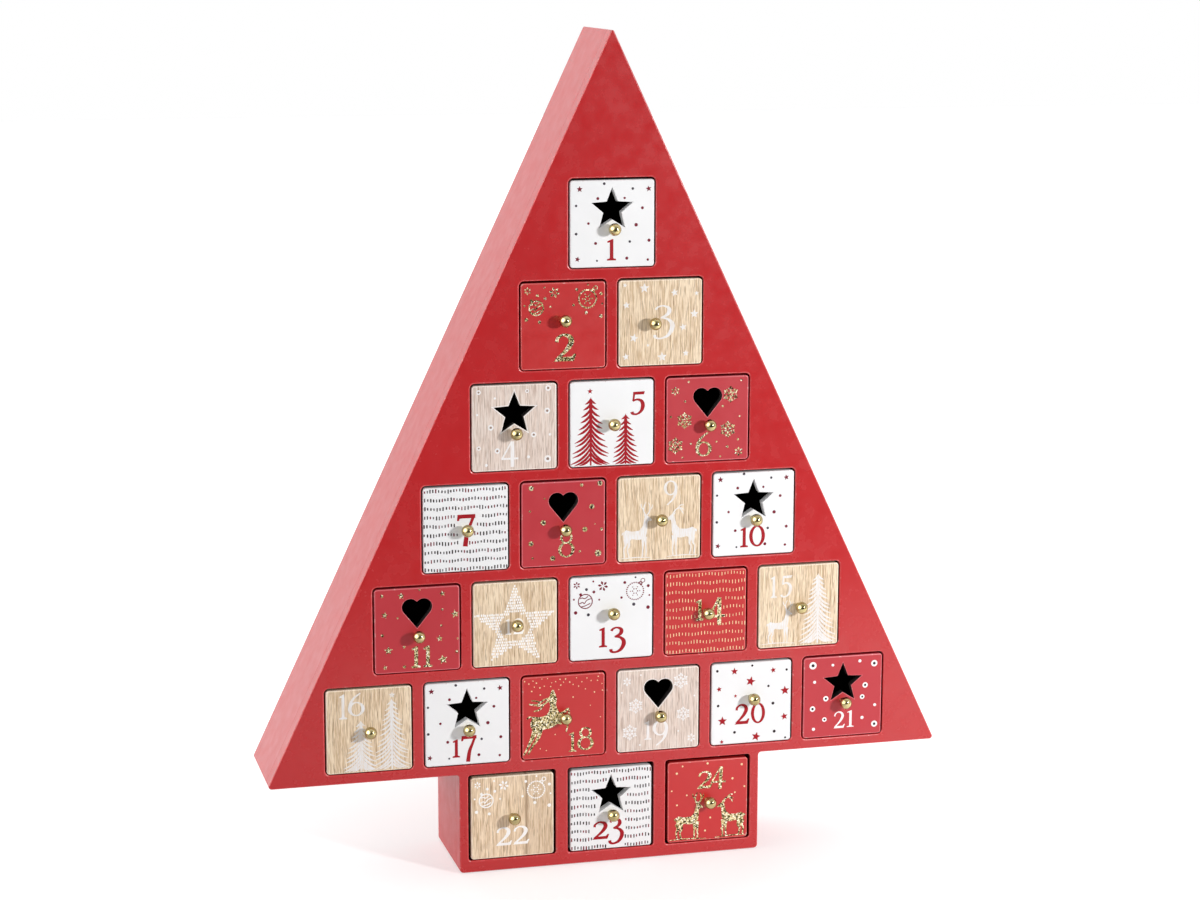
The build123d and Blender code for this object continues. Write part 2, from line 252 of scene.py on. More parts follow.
class Piece:
    """Points and faces of one piece, in millimetres, with a finish and a flat mark for each face."""

    def __init__(self):
        self.points, self.faces, self.finishes, self.flats = [], [], [], []

    def ring(self, loop, y):
        start = len(self.points)
        self.points += [(x, y, z) for x, z in loop]
        return list(range(start, len(self.points)))

    def face(self, corners, finish, flat):
        self.faces.append(tuple(corners))
        self.finishes.append(finish)
        self.flats.append(flat)

    def wall(self, near, far, finish):
        for a, b, c, d in zip(near, far, far[1:] + far[:1], near[1:] + near[:1]):
            self.face((a, b, c, d), finish, False)

    def cap(self, rings, finish, rear):
        if len(rings) == 1:
            self.face(rings[0][::-1] if rear else rings[0], finish, True)
            return
        corners = [i for ring in rings for i in ring]
        flat = [[Vector((self.points[i][0], self.points[i][2], 0.0)) for i in ring] for ring in rings]
        spots = [p for loop in flat for p in loop]
        for a, b, c in tessellate_polygon(flat):
            turn = (spots[b] - spots[a]).cross(spots[c] - spots[a]).z
            ordered = (a, b, c) if (turn > 0) != rear else (a, c, b)
            self.face([corners[i] for i in ordered], finish, True)

    def slab(self, loops, front, rear, eases, rear_ease, finish=0, edge=None, side=None, cut=None):
        """A board from depth front to rear. The first loop is its outline, anticlockwise; the rest are cut out."""
        edge = finish if edge is None else edge
        side = finish if side is None else side
        cut = side if cut is None else cut
        eases = list(eases) + [eases[-1]] * (len(loops) - len(eases))
        turns = [math.pi / 2 * k / EASE_STEPS for k in range(EASE_STEPS + 1)]
        rings, walls = [], []
        for t in turns if max(eases) else turns[-1:]:
            set_in = [offset(loop, ease * (1 - math.sin(t))) for loop, ease in zip(loops, eases)]
            rings.append([self.ring(loop, front + ease * (1 - math.cos(t))) for loop, ease in zip(set_in, eases)])
            walls.append((edge, edge))
        walls[-1] = (side, cut)
        for held in (front + max(eases) + EDGE_HOLD, rear - rear_ease - EDGE_HOLD):
            rings.append([self.ring(loop, held) for loop in loops])
            walls.append((side, cut))
        for t in turns:
            set_in = [offset(loop, rear_ease * (1 - math.cos(t))) for loop in loops]
            rings.append([self.ring(loop, rear - rear_ease * (1 - math.sin(t))) for loop in set_in])
            walls.append((side, cut))
        for near, far, (outer, inner) in zip(rings, rings[1:], walls):
            for k, (a, b) in enumerate(zip(near, far)):
                self.wall(a, b, inner if k else outer)
        self.cap(rings[0], finish, rear=False)
        self.cap(rings[-1], finish, rear=True)

    def film(self, shapes, front, rear, finish):
        """A thin closed layer that covers what any of the shapes covers. A shape is an outline and its holes."""
        spots, loops, owner = [], [], []
        for number, shape in enumerate(shapes):
            for k, loop in enumerate(shape):
                loops.append(list(range(len(spots), len(spots) + len(loop))))
                spots += [Vector(p) for p in ccw(loop)]
                owner.append((number, k > 0))
        flat, _, triangles, _, _, origins = delaunay_2d_cdt(spots, [], loops, 1, FILM_TOLERANCE)
        kept = []
        for corners, within in zip(triangles, origins):
            holed = {owner[i][0] for i in within if owner[i][1]}
            if {owner[i][0] for i in within if not owner[i][1]} - holed:
                kept.append(corners if area([tuple(flat[i]) for i in corners]) > 0 else corners[::-1])
        near = self.ring(flat, front)
        far = self.ring(flat, rear)
        sides = {(a, b) for corners in kept for a, b in zip(corners, corners[1:] + corners[:1])}
        for corners in kept:
            self.face([near[i] for i in corners], finish, True)
            self.face([far[i] for i in reversed(corners)], finish, True)
        for a, b in sorted(sides):
            if (b, a) not in sides:
                self.face((near[a], far[a], far[b], near[b]), finish, True)

    def lathe(self, profile, x, z, front, sides):
        """Turned about a line towards the viewer. The profile gives (reach, radius) and ends on the line."""
        rings = []
        for reach, radius in profile[:-1]:
            rings.append(self.ring(ellipse(x, z, radius, radius, sides), front - reach))
        for near, far in zip(rings, rings[1:]):
            self.wall(far, near, 0)
        tip = len(self.points)
        self.points.append((x, front - profile[-1][0], z))
        for a, b in zip(rings[-1], rings[-1][1:] + rings[-1][:1]):
            self.face((a, b, tip), 0, False)
        self.face(rings[0][::-1], 0, True)

    def make(self, name, body, finishes, replaces=()):
        mesh = bpy.data.meshes.new(name)
        used = sorted({i for corners in self.faces for i in corners})
        place = {old: new for new, old in enumerate(used)}
        points = [tuple(c * MM for c in self.points[i]) for i in used]
        mesh.from_pydata(points, [], [[place[i] for i in corners] for corners in self.faces])
        mesh.polygons.foreach_set("material_index", self.finishes)
        mesh.set_sharp_from_angle(angle=SHARP_ANGLE)
        mesh.polygons.foreach_set("use_smooth", [not flat for flat in self.flats])
        for finish in finishes:
            mesh.materials.append(finish)
        mesh.validate()
        mesh.update()
        made = linked(name, mesh)
        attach(made, body)
        if replaces:
            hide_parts(*replaces)


# Finishes

USUAL_NOISE = (0.3, 0.7)


class Nodes:
    """A short way to add shader nodes to a material or to the world."""

    def __init__(self, owner):
        owner.use_nodes = True
        self.nodes, self.links = owner.node_tree.nodes, owner.node_tree.links

    def add(self, kind, *values, **settings):
        node = self.nodes.new(kind)
        for key, value in settings.items():
            setattr(node, key, value)
        for socket, value in values:
            self.put(node.inputs[socket], value)
        return node

    def put(self, socket, value):
        if isinstance(value, bpy.types.NodeSocket):
            self.links.new(value, socket)
        else:
            socket.default_value = value

    def spread(self, value, *ends):
        """Value carried over from one range to another. ends are both ends of the first and of the second."""
        sockets = ("From Min", "From Max", "To Min", "To Max")
        return self.add("ShaderNodeMapRange", ("Value", value), *zip(sockets, ends)).outputs["Result"]

    def math(self, operation, first, second):
        return self.add("ShaderNodeMath", (0, first), (1, second), operation=operation).outputs[0]

    def split(self, vector):
        return self.add("ShaderNodeSeparateXYZ", ("Vector", vector)).outputs


class Finish(Nodes):
    """A material of one surface."""

    def __init__(self, name, **sockets):
        self.material = bpy.data.materials.new(name)
        super().__init__(self.material)
        self.shader = self.nodes["Principled BSDF"]
        for socket, value in sockets.items():
            self.shader.inputs[socket.replace("_", " ")].default_value = value
        self.place = self.add("ShaderNodeTexCoord").outputs["Object"]

    def drive(self, socket, value):
        self.put(self.shader.inputs[socket], value)

    def stretched(self, x, y, z, where=None):
        return self.add("ShaderNodeMapping", ("Vector", where or self.place), ("Scale", (x, y, z))).outputs["Vector"]

    def noise(self, scale, detail=2.0, rough=0.5, where=None):
        values = (("Vector", where or self.place), ("Scale", scale), ("Detail", detail), ("Roughness", rough))
        return self.add("ShaderNodeTexNoise", *values).outputs["Fac"]

    def ramp(self, value, *stops):
        node = self.add("ShaderNodeValToRGB", ("Fac", value))
        elements = node.color_ramp.elements
        elements[0].position, elements[1].position = stops[0][0], stops[-1][0]
        for position, _ in stops[1:-1]:
            elements.new(position)
        for element, (_, color) in zip(elements, stops):
            element.color = (*color, 1.0)
        return node.outputs["Color"]

    def mix(self, share, first, second):
        node = self.add("ShaderNodeMix", data_type="RGBA")
        self.put(node.inputs[0], share)
        for socket, value in ((node.inputs[6], first), (node.inputs[7], second)):
            self.put(socket, (*value, 1.0) if isinstance(value, tuple) else value)
        return node.outputs[2]

    def bump(self, height, strength, distance, normal=None):
        values = [("Height", height), ("Strength", strength), ("Distance", distance)]
        if normal:
            values.append(("Normal", normal))
        return self.add("ShaderNodeBump", *values).outputs["Normal"]

    def relief(self, *values):
        self.drive("Normal", self.bump(*values))

    def gloss(self, noise, low, high):
        """Roughness from low to high over the range that most of a noise keeps to."""
        self.drive("Roughness", self.spread(noise, *USUAL_NOISE, low, high))


def linear(red, green, blue):
    """Colour as seen, 0 to 255, in the shader's linear values."""
    return tuple((c / 255 / 12.92 if c <= 10 else ((c / 255 + 0.055) / 1.055) ** 2.4) for c in (red, green, blue))


def toned(color, share):
    return tuple(min(c * share, 1.0) for c in color)


def paint(name, color, roughness, wear=None, coat=0.0):
    """Sprayed satin paint on board: slightly uneven colour and gloss, fine peel; worn spots where wear is given."""
    f = Finish(name, Coat_Weight=coat, Coat_Roughness=0.4, Specular_IOR_Level=0.5)
    cloud = f.noise(14.0, 3.0, 0.6)
    tone = f.ramp(cloud, (0.3, toned(color, 0.965)), (0.7, toned(color, 1.03)))
    if wear:
        spots = f.noise(420.0, 4.0, 0.65)
        worn = f.spread(spots, 0.60, 0.66, 0.0, 0.75)
        tone = f.mix(worn, tone, wear)
    f.drive("Base Color", tone)
    f.gloss(f.noise(160.0, 3.0), roughness - 0.05, roughness + 0.06)
    f.relief(f.noise(300.0), 0.05, 0.00004)
    return f.material


def oak(name, pale, deep, pore, wash=None, band=False):
    """Veneer with upright grain: an even ground, fine short streaks and dark pores."""
    f = Finish(name, Specular_IOR_Level=0.35)
    sway = f.noise(11.0)
    shift = f.add("ShaderNodeCombineXYZ", ("X", f.spread(sway, 0.0, 1.0, -0.003, 0.003)))
    bent = f.add("ShaderNodeVectorMath", (0, f.place), (1, shift.outputs[0]), operation="ADD").outputs[0]

    def along(length):
        return f.stretched(1.0, 1.0, length, bent)

    broad = f.noise(120.0, where=along(0.05))
    streak = f.noise(1600.0, 2.0, 0.6, along(0.045))
    fine = f.noise(2700.0, 2.0, 0.6, along(0.06))
    both = f.math("ADD", f.math("MULTIPLY", broad, 0.12), f.math("MULTIPLY", streak, 0.42))
    both = f.math("ADD", both, f.math("MULTIPLY", fine, 0.46))
    middle = tuple((a + b) / 2 for a, b in zip(pale, deep))
    tone = f.ramp(both, (0.41, deep), (0.49, middle), (0.56, pale))
    pores = f.spread(f.noise(2100.0, where=along(0.06)), 0.57, 0.65, 0.0, 0.6)
    tone = f.mix(pores, tone, pore)
    if wash:
        veil = f.spread(f.noise(1500.0, 3.0, 0.6, along(0.05)), 0.42, 0.60, 0.0, 0.55)
        tone = f.mix(veil, tone, wash)
    if band:
        across = f.split(bent)["X"]
        beyond = f.spread(across, BAND_X * MM, BAND_FULL_X * MM, 0.0, 0.28)
        tone = f.mix(beyond, tone, toned(deep, 0.74))
        off = f.math("ABSOLUTE", f.math("SUBTRACT", across, BAND_LINE_X * MM), 0.0)
        tone = f.mix(f.spread(off, 0.2 * MM, 1.1 * MM, 0.6, 0.0), tone, pore)
    f.drive("Base Color", tone)
    f.gloss(fine, 0.48, 0.62)
    lined = f.bump(fine, 0.14, 0.00010)
    f.relief(f.math("MULTIPLY", pores, -1.0), 0.3, 0.00010, lined)
    return f.material


def printed(name, color):
    """Screen-printed colour, a little uneven."""
    f = Finish(name, Specular_IOR_Level=0.25)
    cover = f.noise(900.0, 3.0, 0.6)
    f.drive("Base Color", f.ramp(cover, (0.3, toned(color, 0.9)), (0.65, toned(color, 1.06))))
    f.gloss(cover, 0.44, 0.56)
    f.relief(cover, 0.1, 0.00005)
    return f.material


def chalk(name, color, under, least, most):
    """White printing on wood, thin enough for the grain to show: the share of the ground runs from least to most."""
    f = Finish(name, Specular_IOR_Level=0.35, Roughness=0.6)
    grain = f.noise(1600.0, 2.0, 0.6, f.stretched(1.0, 1.0, 0.12))
    f.drive("Base Color", f.mix(f.spread(grain, 0.38, 0.60, most, least), color, under))
    f.relief(grain, 0.14, 0.00008)
    return f.material


def glitter(name):
    """Gold glitter: small flakes that differ in tone and tilt."""
    f = Finish(name, Metallic=0.75, Specular_IOR_Level=0.5)
    cells = f.add("ShaderNodeTexVoronoi", ("Vector", f.place), ("Scale", 1700.0))
    parts = f.add("ShaderNodeSeparateColor", ("Color", cells.outputs["Color"]))
    tone = f.ramp(
        parts.outputs["Red"],
        (0.0, linear(28, 25, 13)),
        (0.30, linear(84, 75, 40)),
        (0.50, linear(176, 158, 102)),
        (0.76, linear(228, 212, 164)),
        (1.0, linear(253, 247, 230)),
    )
    f.drive("Base Color", tone)
    f.drive("Roughness", f.spread(parts.outputs["Green"], 0.0, 1.0, 0.25, 0.5))
    f.relief(parts.outputs["Blue"], 0.6, 0.00018)
    return f.material


def brass(name):
    """Polished brass, faintly drawn round by the turning tool, a little dull in places."""
    f = Finish(name, Metallic=1.0)
    dull = f.noise(260.0, 3.0, 0.6)
    f.drive("Base Color", f.ramp(dull, (0.3, linear(153, 140, 95)), (0.7, linear(192, 178, 131))))
    f.gloss(dull, 0.12, 0.20)
    turned = f.noise(2600.0, where=f.stretched(1.0, 6.0, 1.0))
    f.relief(turned, 0.05, 0.00004)
    return f.material


def fibreboard(name, color, roughness=0.75):
    """Pressed fibre: fine mottling, no grain direction."""
    f = Finish(name, Specular_IOR_Level=0.3)
    fibres = f.noise(1100.0, 5.0, 0.7)
    cloud = f.noise(70.0)
    both = f.math("ADD", f.math("MULTIPLY", fibres, 0.65), f.math("MULTIPLY", cloud, 0.35))
    f.drive("Base Color", f.ramp(both, (0.36, toned(color, 0.72)), (0.66, toned(color, 1.22))))
    f.gloss(fibres, roughness - 0.08, roughness + 0.08)
    f.relief(fibres, 0.2, 0.00008)
    return f.material


RED = linear(186, 32, 36)
DARK_RED = linear(182, 34, 46)
WHITE = linear(238, 238, 239)

cabinet_red = paint("cabinet_red", RED, 0.25)
cabinet_side = paint("cabinet_red_side", RED, 0.46, coat=0.5)
# Eased edges of the panel and rims of its openings: red made 12 % lighter than the face, a painted highlight, with real
# worn spots
cabinet_edge_highlight_and_wear = paint("cabinet_red_edge_highlight_and_wear", toned(RED, 1.12), 0.26, wear=linear(214, 120, 116), coat=0.8)
front_finish = {
    "drawer_white": paint("drawer_white", WHITE, 0.42),
    "drawer_red": paint("drawer_red", linear(189, 25, 27), 0.36, coat=0.2),
    "drawer_dark_red": paint("drawer_dark_red", DARK_RED, 0.42, coat=0.15),
    "drawer_oak": oak("drawer_oak", linear(241, 221, 193), linear(199, 170, 136), linear(136, 104, 76)),
    "drawer_oak_banded": oak(
        "drawer_oak_banded", linear(246, 224, 196), linear(207, 177, 143), linear(136, 104, 76), band=True
    ),
    "drawer_whitewashed": oak(
        "drawer_whitewashed", linear(227, 208, 196), linear(190, 166, 151), linear(144, 116, 102), linear(238, 227, 219)
    ),
}
# Eased edges of the fronts. Red, dark-red, oak and whitewashed edges are much lighter than their faces, a painted
# highlight; the white edges are plain paint. The worn spots are real wear.
edge_wear_and_highlight = {
    "drawer_white": paint("drawer_white_edge", toned(WHITE, 0.98), 0.45, wear=linear(206, 196, 190)),
    "drawer_red": paint("drawer_red_edge_highlight_and_wear", linear(216, 92, 90), 0.36, wear=linear(232, 186, 176), coat=0.2),
    "drawer_dark_red": paint("drawer_dark_red_edge_highlight_and_wear", linear(213, 100, 108), 0.4, wear=linear(232, 190, 182), coat=0.15),
    "drawer_oak": oak("drawer_oak_edge_highlight", linear(253, 242, 224), linear(238, 218, 190), linear(196, 166, 130)),
    "drawer_whitewashed": oak(
        "drawer_whitewashed_edge_highlight", linear(252, 244, 236), linear(238, 224, 212), linear(206, 184, 168)
    ),
}
# Black board for the trays; on the walls of the cuts in the dark-red and whitewashed fronts it is painted shade
tray_black_and_cut_shade = fibreboard("tray_black_and_cut_shade", linear(34, 30, 29), 0.7)
# Walls of the openings: near-black red board, painted shade that darkens the gaps round the drawers
shaded_opening_wall = fibreboard("shaded_opening_wall", linear(74, 18, 18), 0.7)
bare_board = fibreboard("bare_board", linear(150, 112, 78))
knob_brass = brass("knob_brass")
inks = {
    "chalk": chalk("ink_chalk", linear(234, 233, 235), linear(222, 199, 170), 0.02, 0.42),
    "bright": chalk("ink_bright", linear(250, 248, 248), linear(226, 206, 180), 0.0, 0.2),
    "veil": chalk("ink_veil", linear(240, 238, 239), linear(224, 208, 198), 0.0, 0.36),
    "gold": glitter("ink_gold"),
}
for ink, color in {
    "red": (160, 8, 26),
    "berry": (116, 18, 42),
    "grey": (62, 54, 64),
    "dark": (40, 24, 31),
    "taupe": (150, 126, 112),
    "white": (248, 246, 246),
    "cream": (240, 218, 172),
}.items():
    inks[ink] = printed("ink_" + ink, linear(*color))

SLOTS = {
    "drawer_white": (1, 5, 7, 10, 13, 17, 20, 23),
    "drawer_red": (2, 14, 18, 24),
    "drawer_dark_red": (6, 8, 11, 21),
    "drawer_oak": (3, 9, 12, 15, 16, 22),
    "drawer_whitewashed": (4, 19),
}
slot_of = {number: slot for slot, numbers in SLOTS.items() for number in numbers}

# Numerals with thick and thin pen strokes. Each is a list of shapes, and a shape is an outline and its counters.
BOWL_SIDES, COUNTER_SIDES = 32, 28


def bowl(x, z, rx, rz, thick, thin):
    return [ellipse(x, z, rx, rz, BOWL_SIDES), ellipse(x, z, rx - thick, rz - thin, COUNTER_SIDES)]


def pen(*points, steps=PEN_STEPS):
    return [stroke(points, steps)]


NUMERALS = {
    "0": [bowl(0.38, 0.5, 0.38, 0.5, 0.13, 0.045)],
    "1": [
        [
            [(0.0, 0.0), (0.46, 0.0), (0.46, 0.035), (0.33, 0.06), (0.31, 0.11), (0.31, 1.0), (0.27, 1.0)]
            + [(0.02, 0.91), (0.02, 0.875), (0.14, 0.89), (0.16, 0.85), (0.16, 0.11), (0.13, 0.06), (0.0, 0.035)]
        ]
    ],
    "2": [
        pen(
            (0.07, 0.72, 0.07), (0.10, 0.85, 0.06), (0.27, 0.965, 0.05), (0.47, 0.90, 0.11), (0.535, 0.72, 0.14),
            (0.45, 0.50, 0.12), (0.27, 0.27, 0.075), (0.06, 0.055, 0.05),
        ),
        [[(0.02, 0.0), (0.60, 0.0), (0.67, 0.22), (0.635, 0.23), (0.56, 0.125), (0.50, 0.115), (0.14, 0.115)]],
    ],
    "3": [
        pen(
            (0.09, 0.83, 0.07), (0.16, 0.93, 0.06), (0.31, 0.975, 0.05), (0.47, 0.90, 0.10), (0.50, 0.75, 0.13),
            (0.42, 0.60, 0.10), (0.24, 0.50, 0.05),
        ),
        pen(
            (0.24, 0.50, 0.05), (0.44, 0.45, 0.08), (0.585, 0.28, 0.13), (0.585, 0.04, 0.14), (0.45, -0.22, 0.10),
            (0.23, -0.325, 0.06), (0.08, -0.27, 0.09), (0.06, -0.17, 0.10),
        ),
    ],
    "4": [
        [rectangle(0.43, 0.57, -0.34, 1.0)],
        [[(0.02, 0.055), (0.76, 0.055), (0.76, 0.13), (0.02, 0.13)]],
        [[(0.02, 0.12), (0.08, 0.12), (0.46, 0.93), (0.50, 1.0), (0.44, 1.0)]],
    ],
    "5": [
        [[(0.13, 0.885), (0.59, 0.885), (0.625, 1.02), (0.13, 1.0)]],
        pen((0.155, 0.95, 0.05), (0.14, 0.72, 0.05), (0.12, 0.50, 0.055)),
        pen(
            (0.12, 0.49, 0.05), (0.30, 0.565, 0.07), (0.50, 0.46, 0.12), (0.56, 0.17, 0.14), (0.47, -0.15, 0.10),
            (0.27, -0.315, 0.06), (0.10, -0.28, 0.09), (0.06, -0.19, 0.11),
        ),
    ],
    "6": [
        bowl(0.36, 0.40, 0.36, 0.40, 0.13, 0.045),
        pen((0.066, 0.42, 0.13), (0.10, 0.70, 0.12), (0.24, 1.02, 0.08), (0.54, 1.30, 0.045)),
    ],
    "7": [
        [[(0.0, 0.78), (0.045, 0.78), (0.07, 0.86), (0.12, 0.875), (0.66, 0.875), (0.66, 1.0), (0.02, 1.0)]],
        pen((0.615, 0.95, 0.085), (0.50, 0.62, 0.08), (0.36, 0.22, 0.12), (0.29, -0.30, 0.15), steps=4),
    ],
    "8": [
        bowl(0.36, 1.00, 0.27, 0.30, 0.085, 0.045),
        bowl(0.36, 0.38, 0.36, 0.38, 0.11, 0.045),
    ],
    "9": [
        bowl(0.36, 0.60, 0.36, 0.40, 0.13, 0.045),
        pen((0.655, 0.58, 0.13), (0.62, 0.28, 0.12), (0.48, -0.04, 0.08), (0.18, -0.32, 0.045)),
    ],
}

# How far ink spreads past a numeral's edge, and the size from which a snow crystal has branches
INK_SPREAD = {"gold": 0.3, "white": 0.12, "bright": 0.12, "red": 0.22}
LARGE_FLAKE_R, PETAL_BELLY = 3.0, 0.58
DOT_SIDES, RING_SIDES, EYE_SIDES = 12, 20, 14
STAR_NOTCH, STAR_SWAY, STAR_SWAY_STEP = 0.45, 0.25, 2.3

# Firs: half widths of the stem, where boughs begin and end and how the outline swells, a bough's thickness along it
# and its bend outwards and down, and the shares by which a bough's reach and drop and the gap to the next one vary
STEM_HALF, NECK_HALF, NECK_DROP = 0.4, 0.9, 3.6
FIR_TIP, FIR_FOOT, FIR_LEAST_SHARE, FIR_SWELL = 1.0, 1.6, 0.16, 1.6
REACH_VARIES, DROP_VARIES, GAP_VARIES = (0.9, 1.05), (0.92, 1.05), (0.94, 1.06)
BOUGH, BEND_OUT, BEND_DOWN = ((0.0, 0.8), (0.3, 1.02), (0.65, 0.98), (1.0, 0.2)), 0.34, 0.76

# Rows of dashes, and the star that is filled with rows of small marks, open round the knob and the number
DASH_ROWS, DASH_TOP, DASH_PITCH, DASH_REACH, DASH_START = 10, 19.8, 4.46, 21.2, 0.6
DASH_SWAY, DASH_WAVE, DASH_PHASE, DASH_TALL, DASH_CORNER = 0.28, 0.5, 6, (1.1, 2.1), 0.3
FIELD_X, FIELD_Z, FIELD_R, FIELD_NOTCH, FIELD_OPEN_R = -0.3, -1.6, 22.0, 0.43, 7.4
FIELD_ROWS, FIELD_TOP, FIELD_PITCH, FIELD_LEFT, FIELD_RIGHT, FIELD_STEP = 28, 19.6, 1.45, -20.9, 20.6, 1.1
FIELD_JITTER_X, FIELD_JITTER_Z, FIELD_TALL, FIELD_WIDE = 0.18, 0.12, (0.95, 1.25), (0.65, 0.9)


class Ornament:
    """Printing of one drawer front: flat shapes by ink, in millimetres from the front's centre."""

    def __init__(self):
        self.shapes = []

    def shape(self, ink, outer, *holes):
        self.shapes.append((ink, [ccw(outer)] + [cw(hole) for hole in holes]))

    def dot(self, ink, x, z, radius):
        self.shape(ink, ellipse(x, z, radius, radius, DOT_SIDES))

    def dots(self, ink, *spots):
        for x, z, radius in spots:
            self.dot(ink, x, z, radius)

    def rings(self, ink, *spots, inner=0.42, eye=None):
        for x, z, radius in spots:
            within = radius * inner
            self.shape(ink, ellipse(x, z, radius, radius, RING_SIDES), ellipse(x, z, within, within, EYE_SIDES))
            if eye:
                self.dot(eye, x, z, within)

    def rim(self, ink, loop, width):
        """A line round a cut. On the whitewashed fronts it is white, a painted highlight along the cut's edge."""
        self.shape(ink, offset(loop, -width), offset(loop, -CUT_EASE))

    def stars(self, ink, *spots):
        for k, (x, z, radius) in enumerate(spots):
            self.shape(ink, star(x, z, radius, STAR_NOTCH, STAR_SWAY * math.sin(STAR_SWAY_STEP * k)))

    def line(self, ink, *points, steps=PEN_STEPS):
        self.shape(ink, stroke(points, steps))

    def petal(self, ink, x, z, angle, radius, near, far, width):
        """A pointed petal from near to far along a direction, in shares of a crystal's radius."""
        c, s = radius * math.cos(angle), radius * math.sin(angle)
        belly = near + (far - near) * PETAL_BELLY
        spots = [(near, 0.0), (belly, -width / 2), (far, 0.0), (belly, width / 2)]
        self.shape(ink, [(x + a * c - b * s, z + a * s + b * c) for a, b in spots])

    def flake(self, ink, x, z, radius, turn=0.0):
        """Snow crystal: six petals, which on the large crystals are arms with two branches each."""
        for k in range(6):
            angle = turn + math.pi / 6 + k * math.pi / 3
            if radius <= LARGE_FLAKE_R:
                self.petal(ink, x, z, angle, radius, 0.2, 1.08, 0.5)
                continue
            self.petal(ink, x, z, angle, radius, 0.08, 0.6, 0.34)
            self.petal(ink, x, z, angle, radius, 0.62, 1.1, 0.3)
            fork = (x + radius * 0.5 * math.cos(angle), z + radius * 0.5 * math.sin(angle))
            for lean in (-0.78, 0.78):
                self.petal(ink, *fork, angle + lean, radius, 0.08, 0.48, 0.25)

    def flakes(self, ink, *spots):
        for spot in spots:
            self.flake(ink, *spot)

    def numeral(self, ink, figure, left, right, low, high, lean=0.0, spread=None):
        """A figure stretched to a box, its strokes thickened as the ink spreads."""
        wide = INK_SPREAD[ink] if spread is None else spread
        shapes = NUMERALS[figure]
        spots = [p for shape in shapes for p in shape[0]]
        x0, x1 = min(p[0] for p in spots), max(p[0] for p in spots)
        z0, z1 = min(p[1] for p in spots), max(p[1] for p in spots)
        for shape in shapes:
            loops = []
            for loop in shape:
                spots = []
                for x, z in loop:
                    up = low + (z - z0) / (z1 - z0) * (high - low)
                    spots.append((left + (x - x0) / (x1 - x0) * (right - left) + lean * (up - low), up))
                loops.append(spots)
            self.shape(ink, offset(ccw(loops[0]), -wide), *[offset(cw(loop), -wide) for loop in loops[1:]])

    def fir(self, ink, x, base, top, half, rng, gap, heft):
        """Fir of boughs that hang from the stem and turn outwards to thin tips, with slits between them."""
        tall = top - base
        right = [(x + NECK_HALF, top - NECK_DROP), (x + STEM_HALF, base)]
        left = [(x - STEM_HALF, base), (x - NECK_HALF, top - NECK_DROP)]
        self.shape(ink, [(x, top), *right, *left])
        level = top - FIR_TIP
        while level > base + FIR_FOOT:
            share = min((top - level) / tall + FIR_LEAST_SHARE, 1.0)
            for side in (-1, 1):
                reach = half * (1 - (1 - share) ** FIR_SWELL) * rng.uniform(*REACH_VARIES)
                drop = (0.8 * reach + 0.3) * rng.uniform(*DROP_VARIES)
                shown = min(1.0, (level - base - 0.1) / drop)
                reach, drop = reach * shown**0.7, drop * shown
                thick = heft * min(1.0, 0.5 + reach / 9)
                bough = []
                for t, wide in BOUGH:
                    out, down = 2 * t * (1 - t) * BEND_OUT + t * t, 2 * t * (1 - t) * BEND_DOWN + t * t
                    bough.append((x + side * reach * out, level - drop * down, wide * thick))
                self.line(ink, *bough, steps=5)
            level -= gap * rng.uniform(*GAP_VARIES)

    def deer(self, ink, x, ground, length, height, facing=1, swept=False, bold=1.0):
        """Standing deer. x is its rump; facing is 1 to the right and -1 to the left."""

        def at(points):
            spots = []
            for px, pz, *widths in points:
                spots.append((x + facing * px * length, ground + pz * height, *[w * length * bold for w in widths]))
            return spots

        trunk = [(0.0, 0.93), (0.10, 0.99), (0.38, 0.93), (0.70, 0.95), (0.85, 1.10), (0.92, 1.32), (0.95, 1.45)]
        trunk += [(0.88, 1.55), (1.00, 1.51), (1.12, 1.46), (1.27, 1.34), (1.26, 1.29), (1.12, 1.29), (1.07, 1.22)]
        trunk += [(1.07, 1.02), (1.04, 0.82), (0.95, 0.64), (0.62, 0.62), (0.36, 0.66), (0.22, 0.56), (0.06, 0.58)]
        trunk += [(-0.01, 0.72), (-0.03, 0.84), (-0.10, 0.80), (-0.09, 0.90)]
        self.shape(ink, at(trunk))
        legs = [
            [(0.08, 0.66, 0.20), (0.08, 0.44, 0.10), (0.00, 0.30, 0.055), (0.03, 0.0, 0.05)],
            [(0.20, 0.64, 0.16), (0.24, 0.42, 0.09), (0.17, 0.28, 0.055), (0.24, 0.0, 0.05)],
            [(0.88, 0.70, 0.16), (0.87, 0.42, 0.075), (0.86, 0.22, 0.05), (0.84, 0.0, 0.05)],
            [(0.99, 0.72, 0.14), (1.00, 0.44, 0.07), (1.02, 0.22, 0.05), (1.00, 0.0, 0.05)],
        ]
        beams = [
            [(1.00, 1.50, 0.06), (0.90, 1.66, 0.05), (0.93, 1.84, 0.04), (1.00, 1.97, 0.03)],
            [(0.91, 1.70, 0.045), (0.80, 1.80, 0.04), (0.78, 1.92, 0.03)],
            [(1.06, 1.50, 0.06), (1.17, 1.64, 0.05), (1.18, 1.82, 0.04), (1.12, 1.95, 0.03)],
            [(1.17, 1.68, 0.045), (1.27, 1.76, 0.04), (1.30, 1.88, 0.03)],
        ]
        if swept:
            beams = [
                [(1.02, 1.50, 0.06), (0.86, 1.66, 0.05), (0.66, 1.70, 0.045), (0.50, 1.62, 0.03)],
                [(0.80, 1.68, 0.045), (0.66, 1.80, 0.04), (0.52, 1.80, 0.03)],
                [(0.70, 1.70, 0.045), (0.58, 1.56, 0.04), (0.52, 1.48, 0.03)],
            ]
        for part in legs + beams:
            self.shape(ink, stroke(at(part), 4))

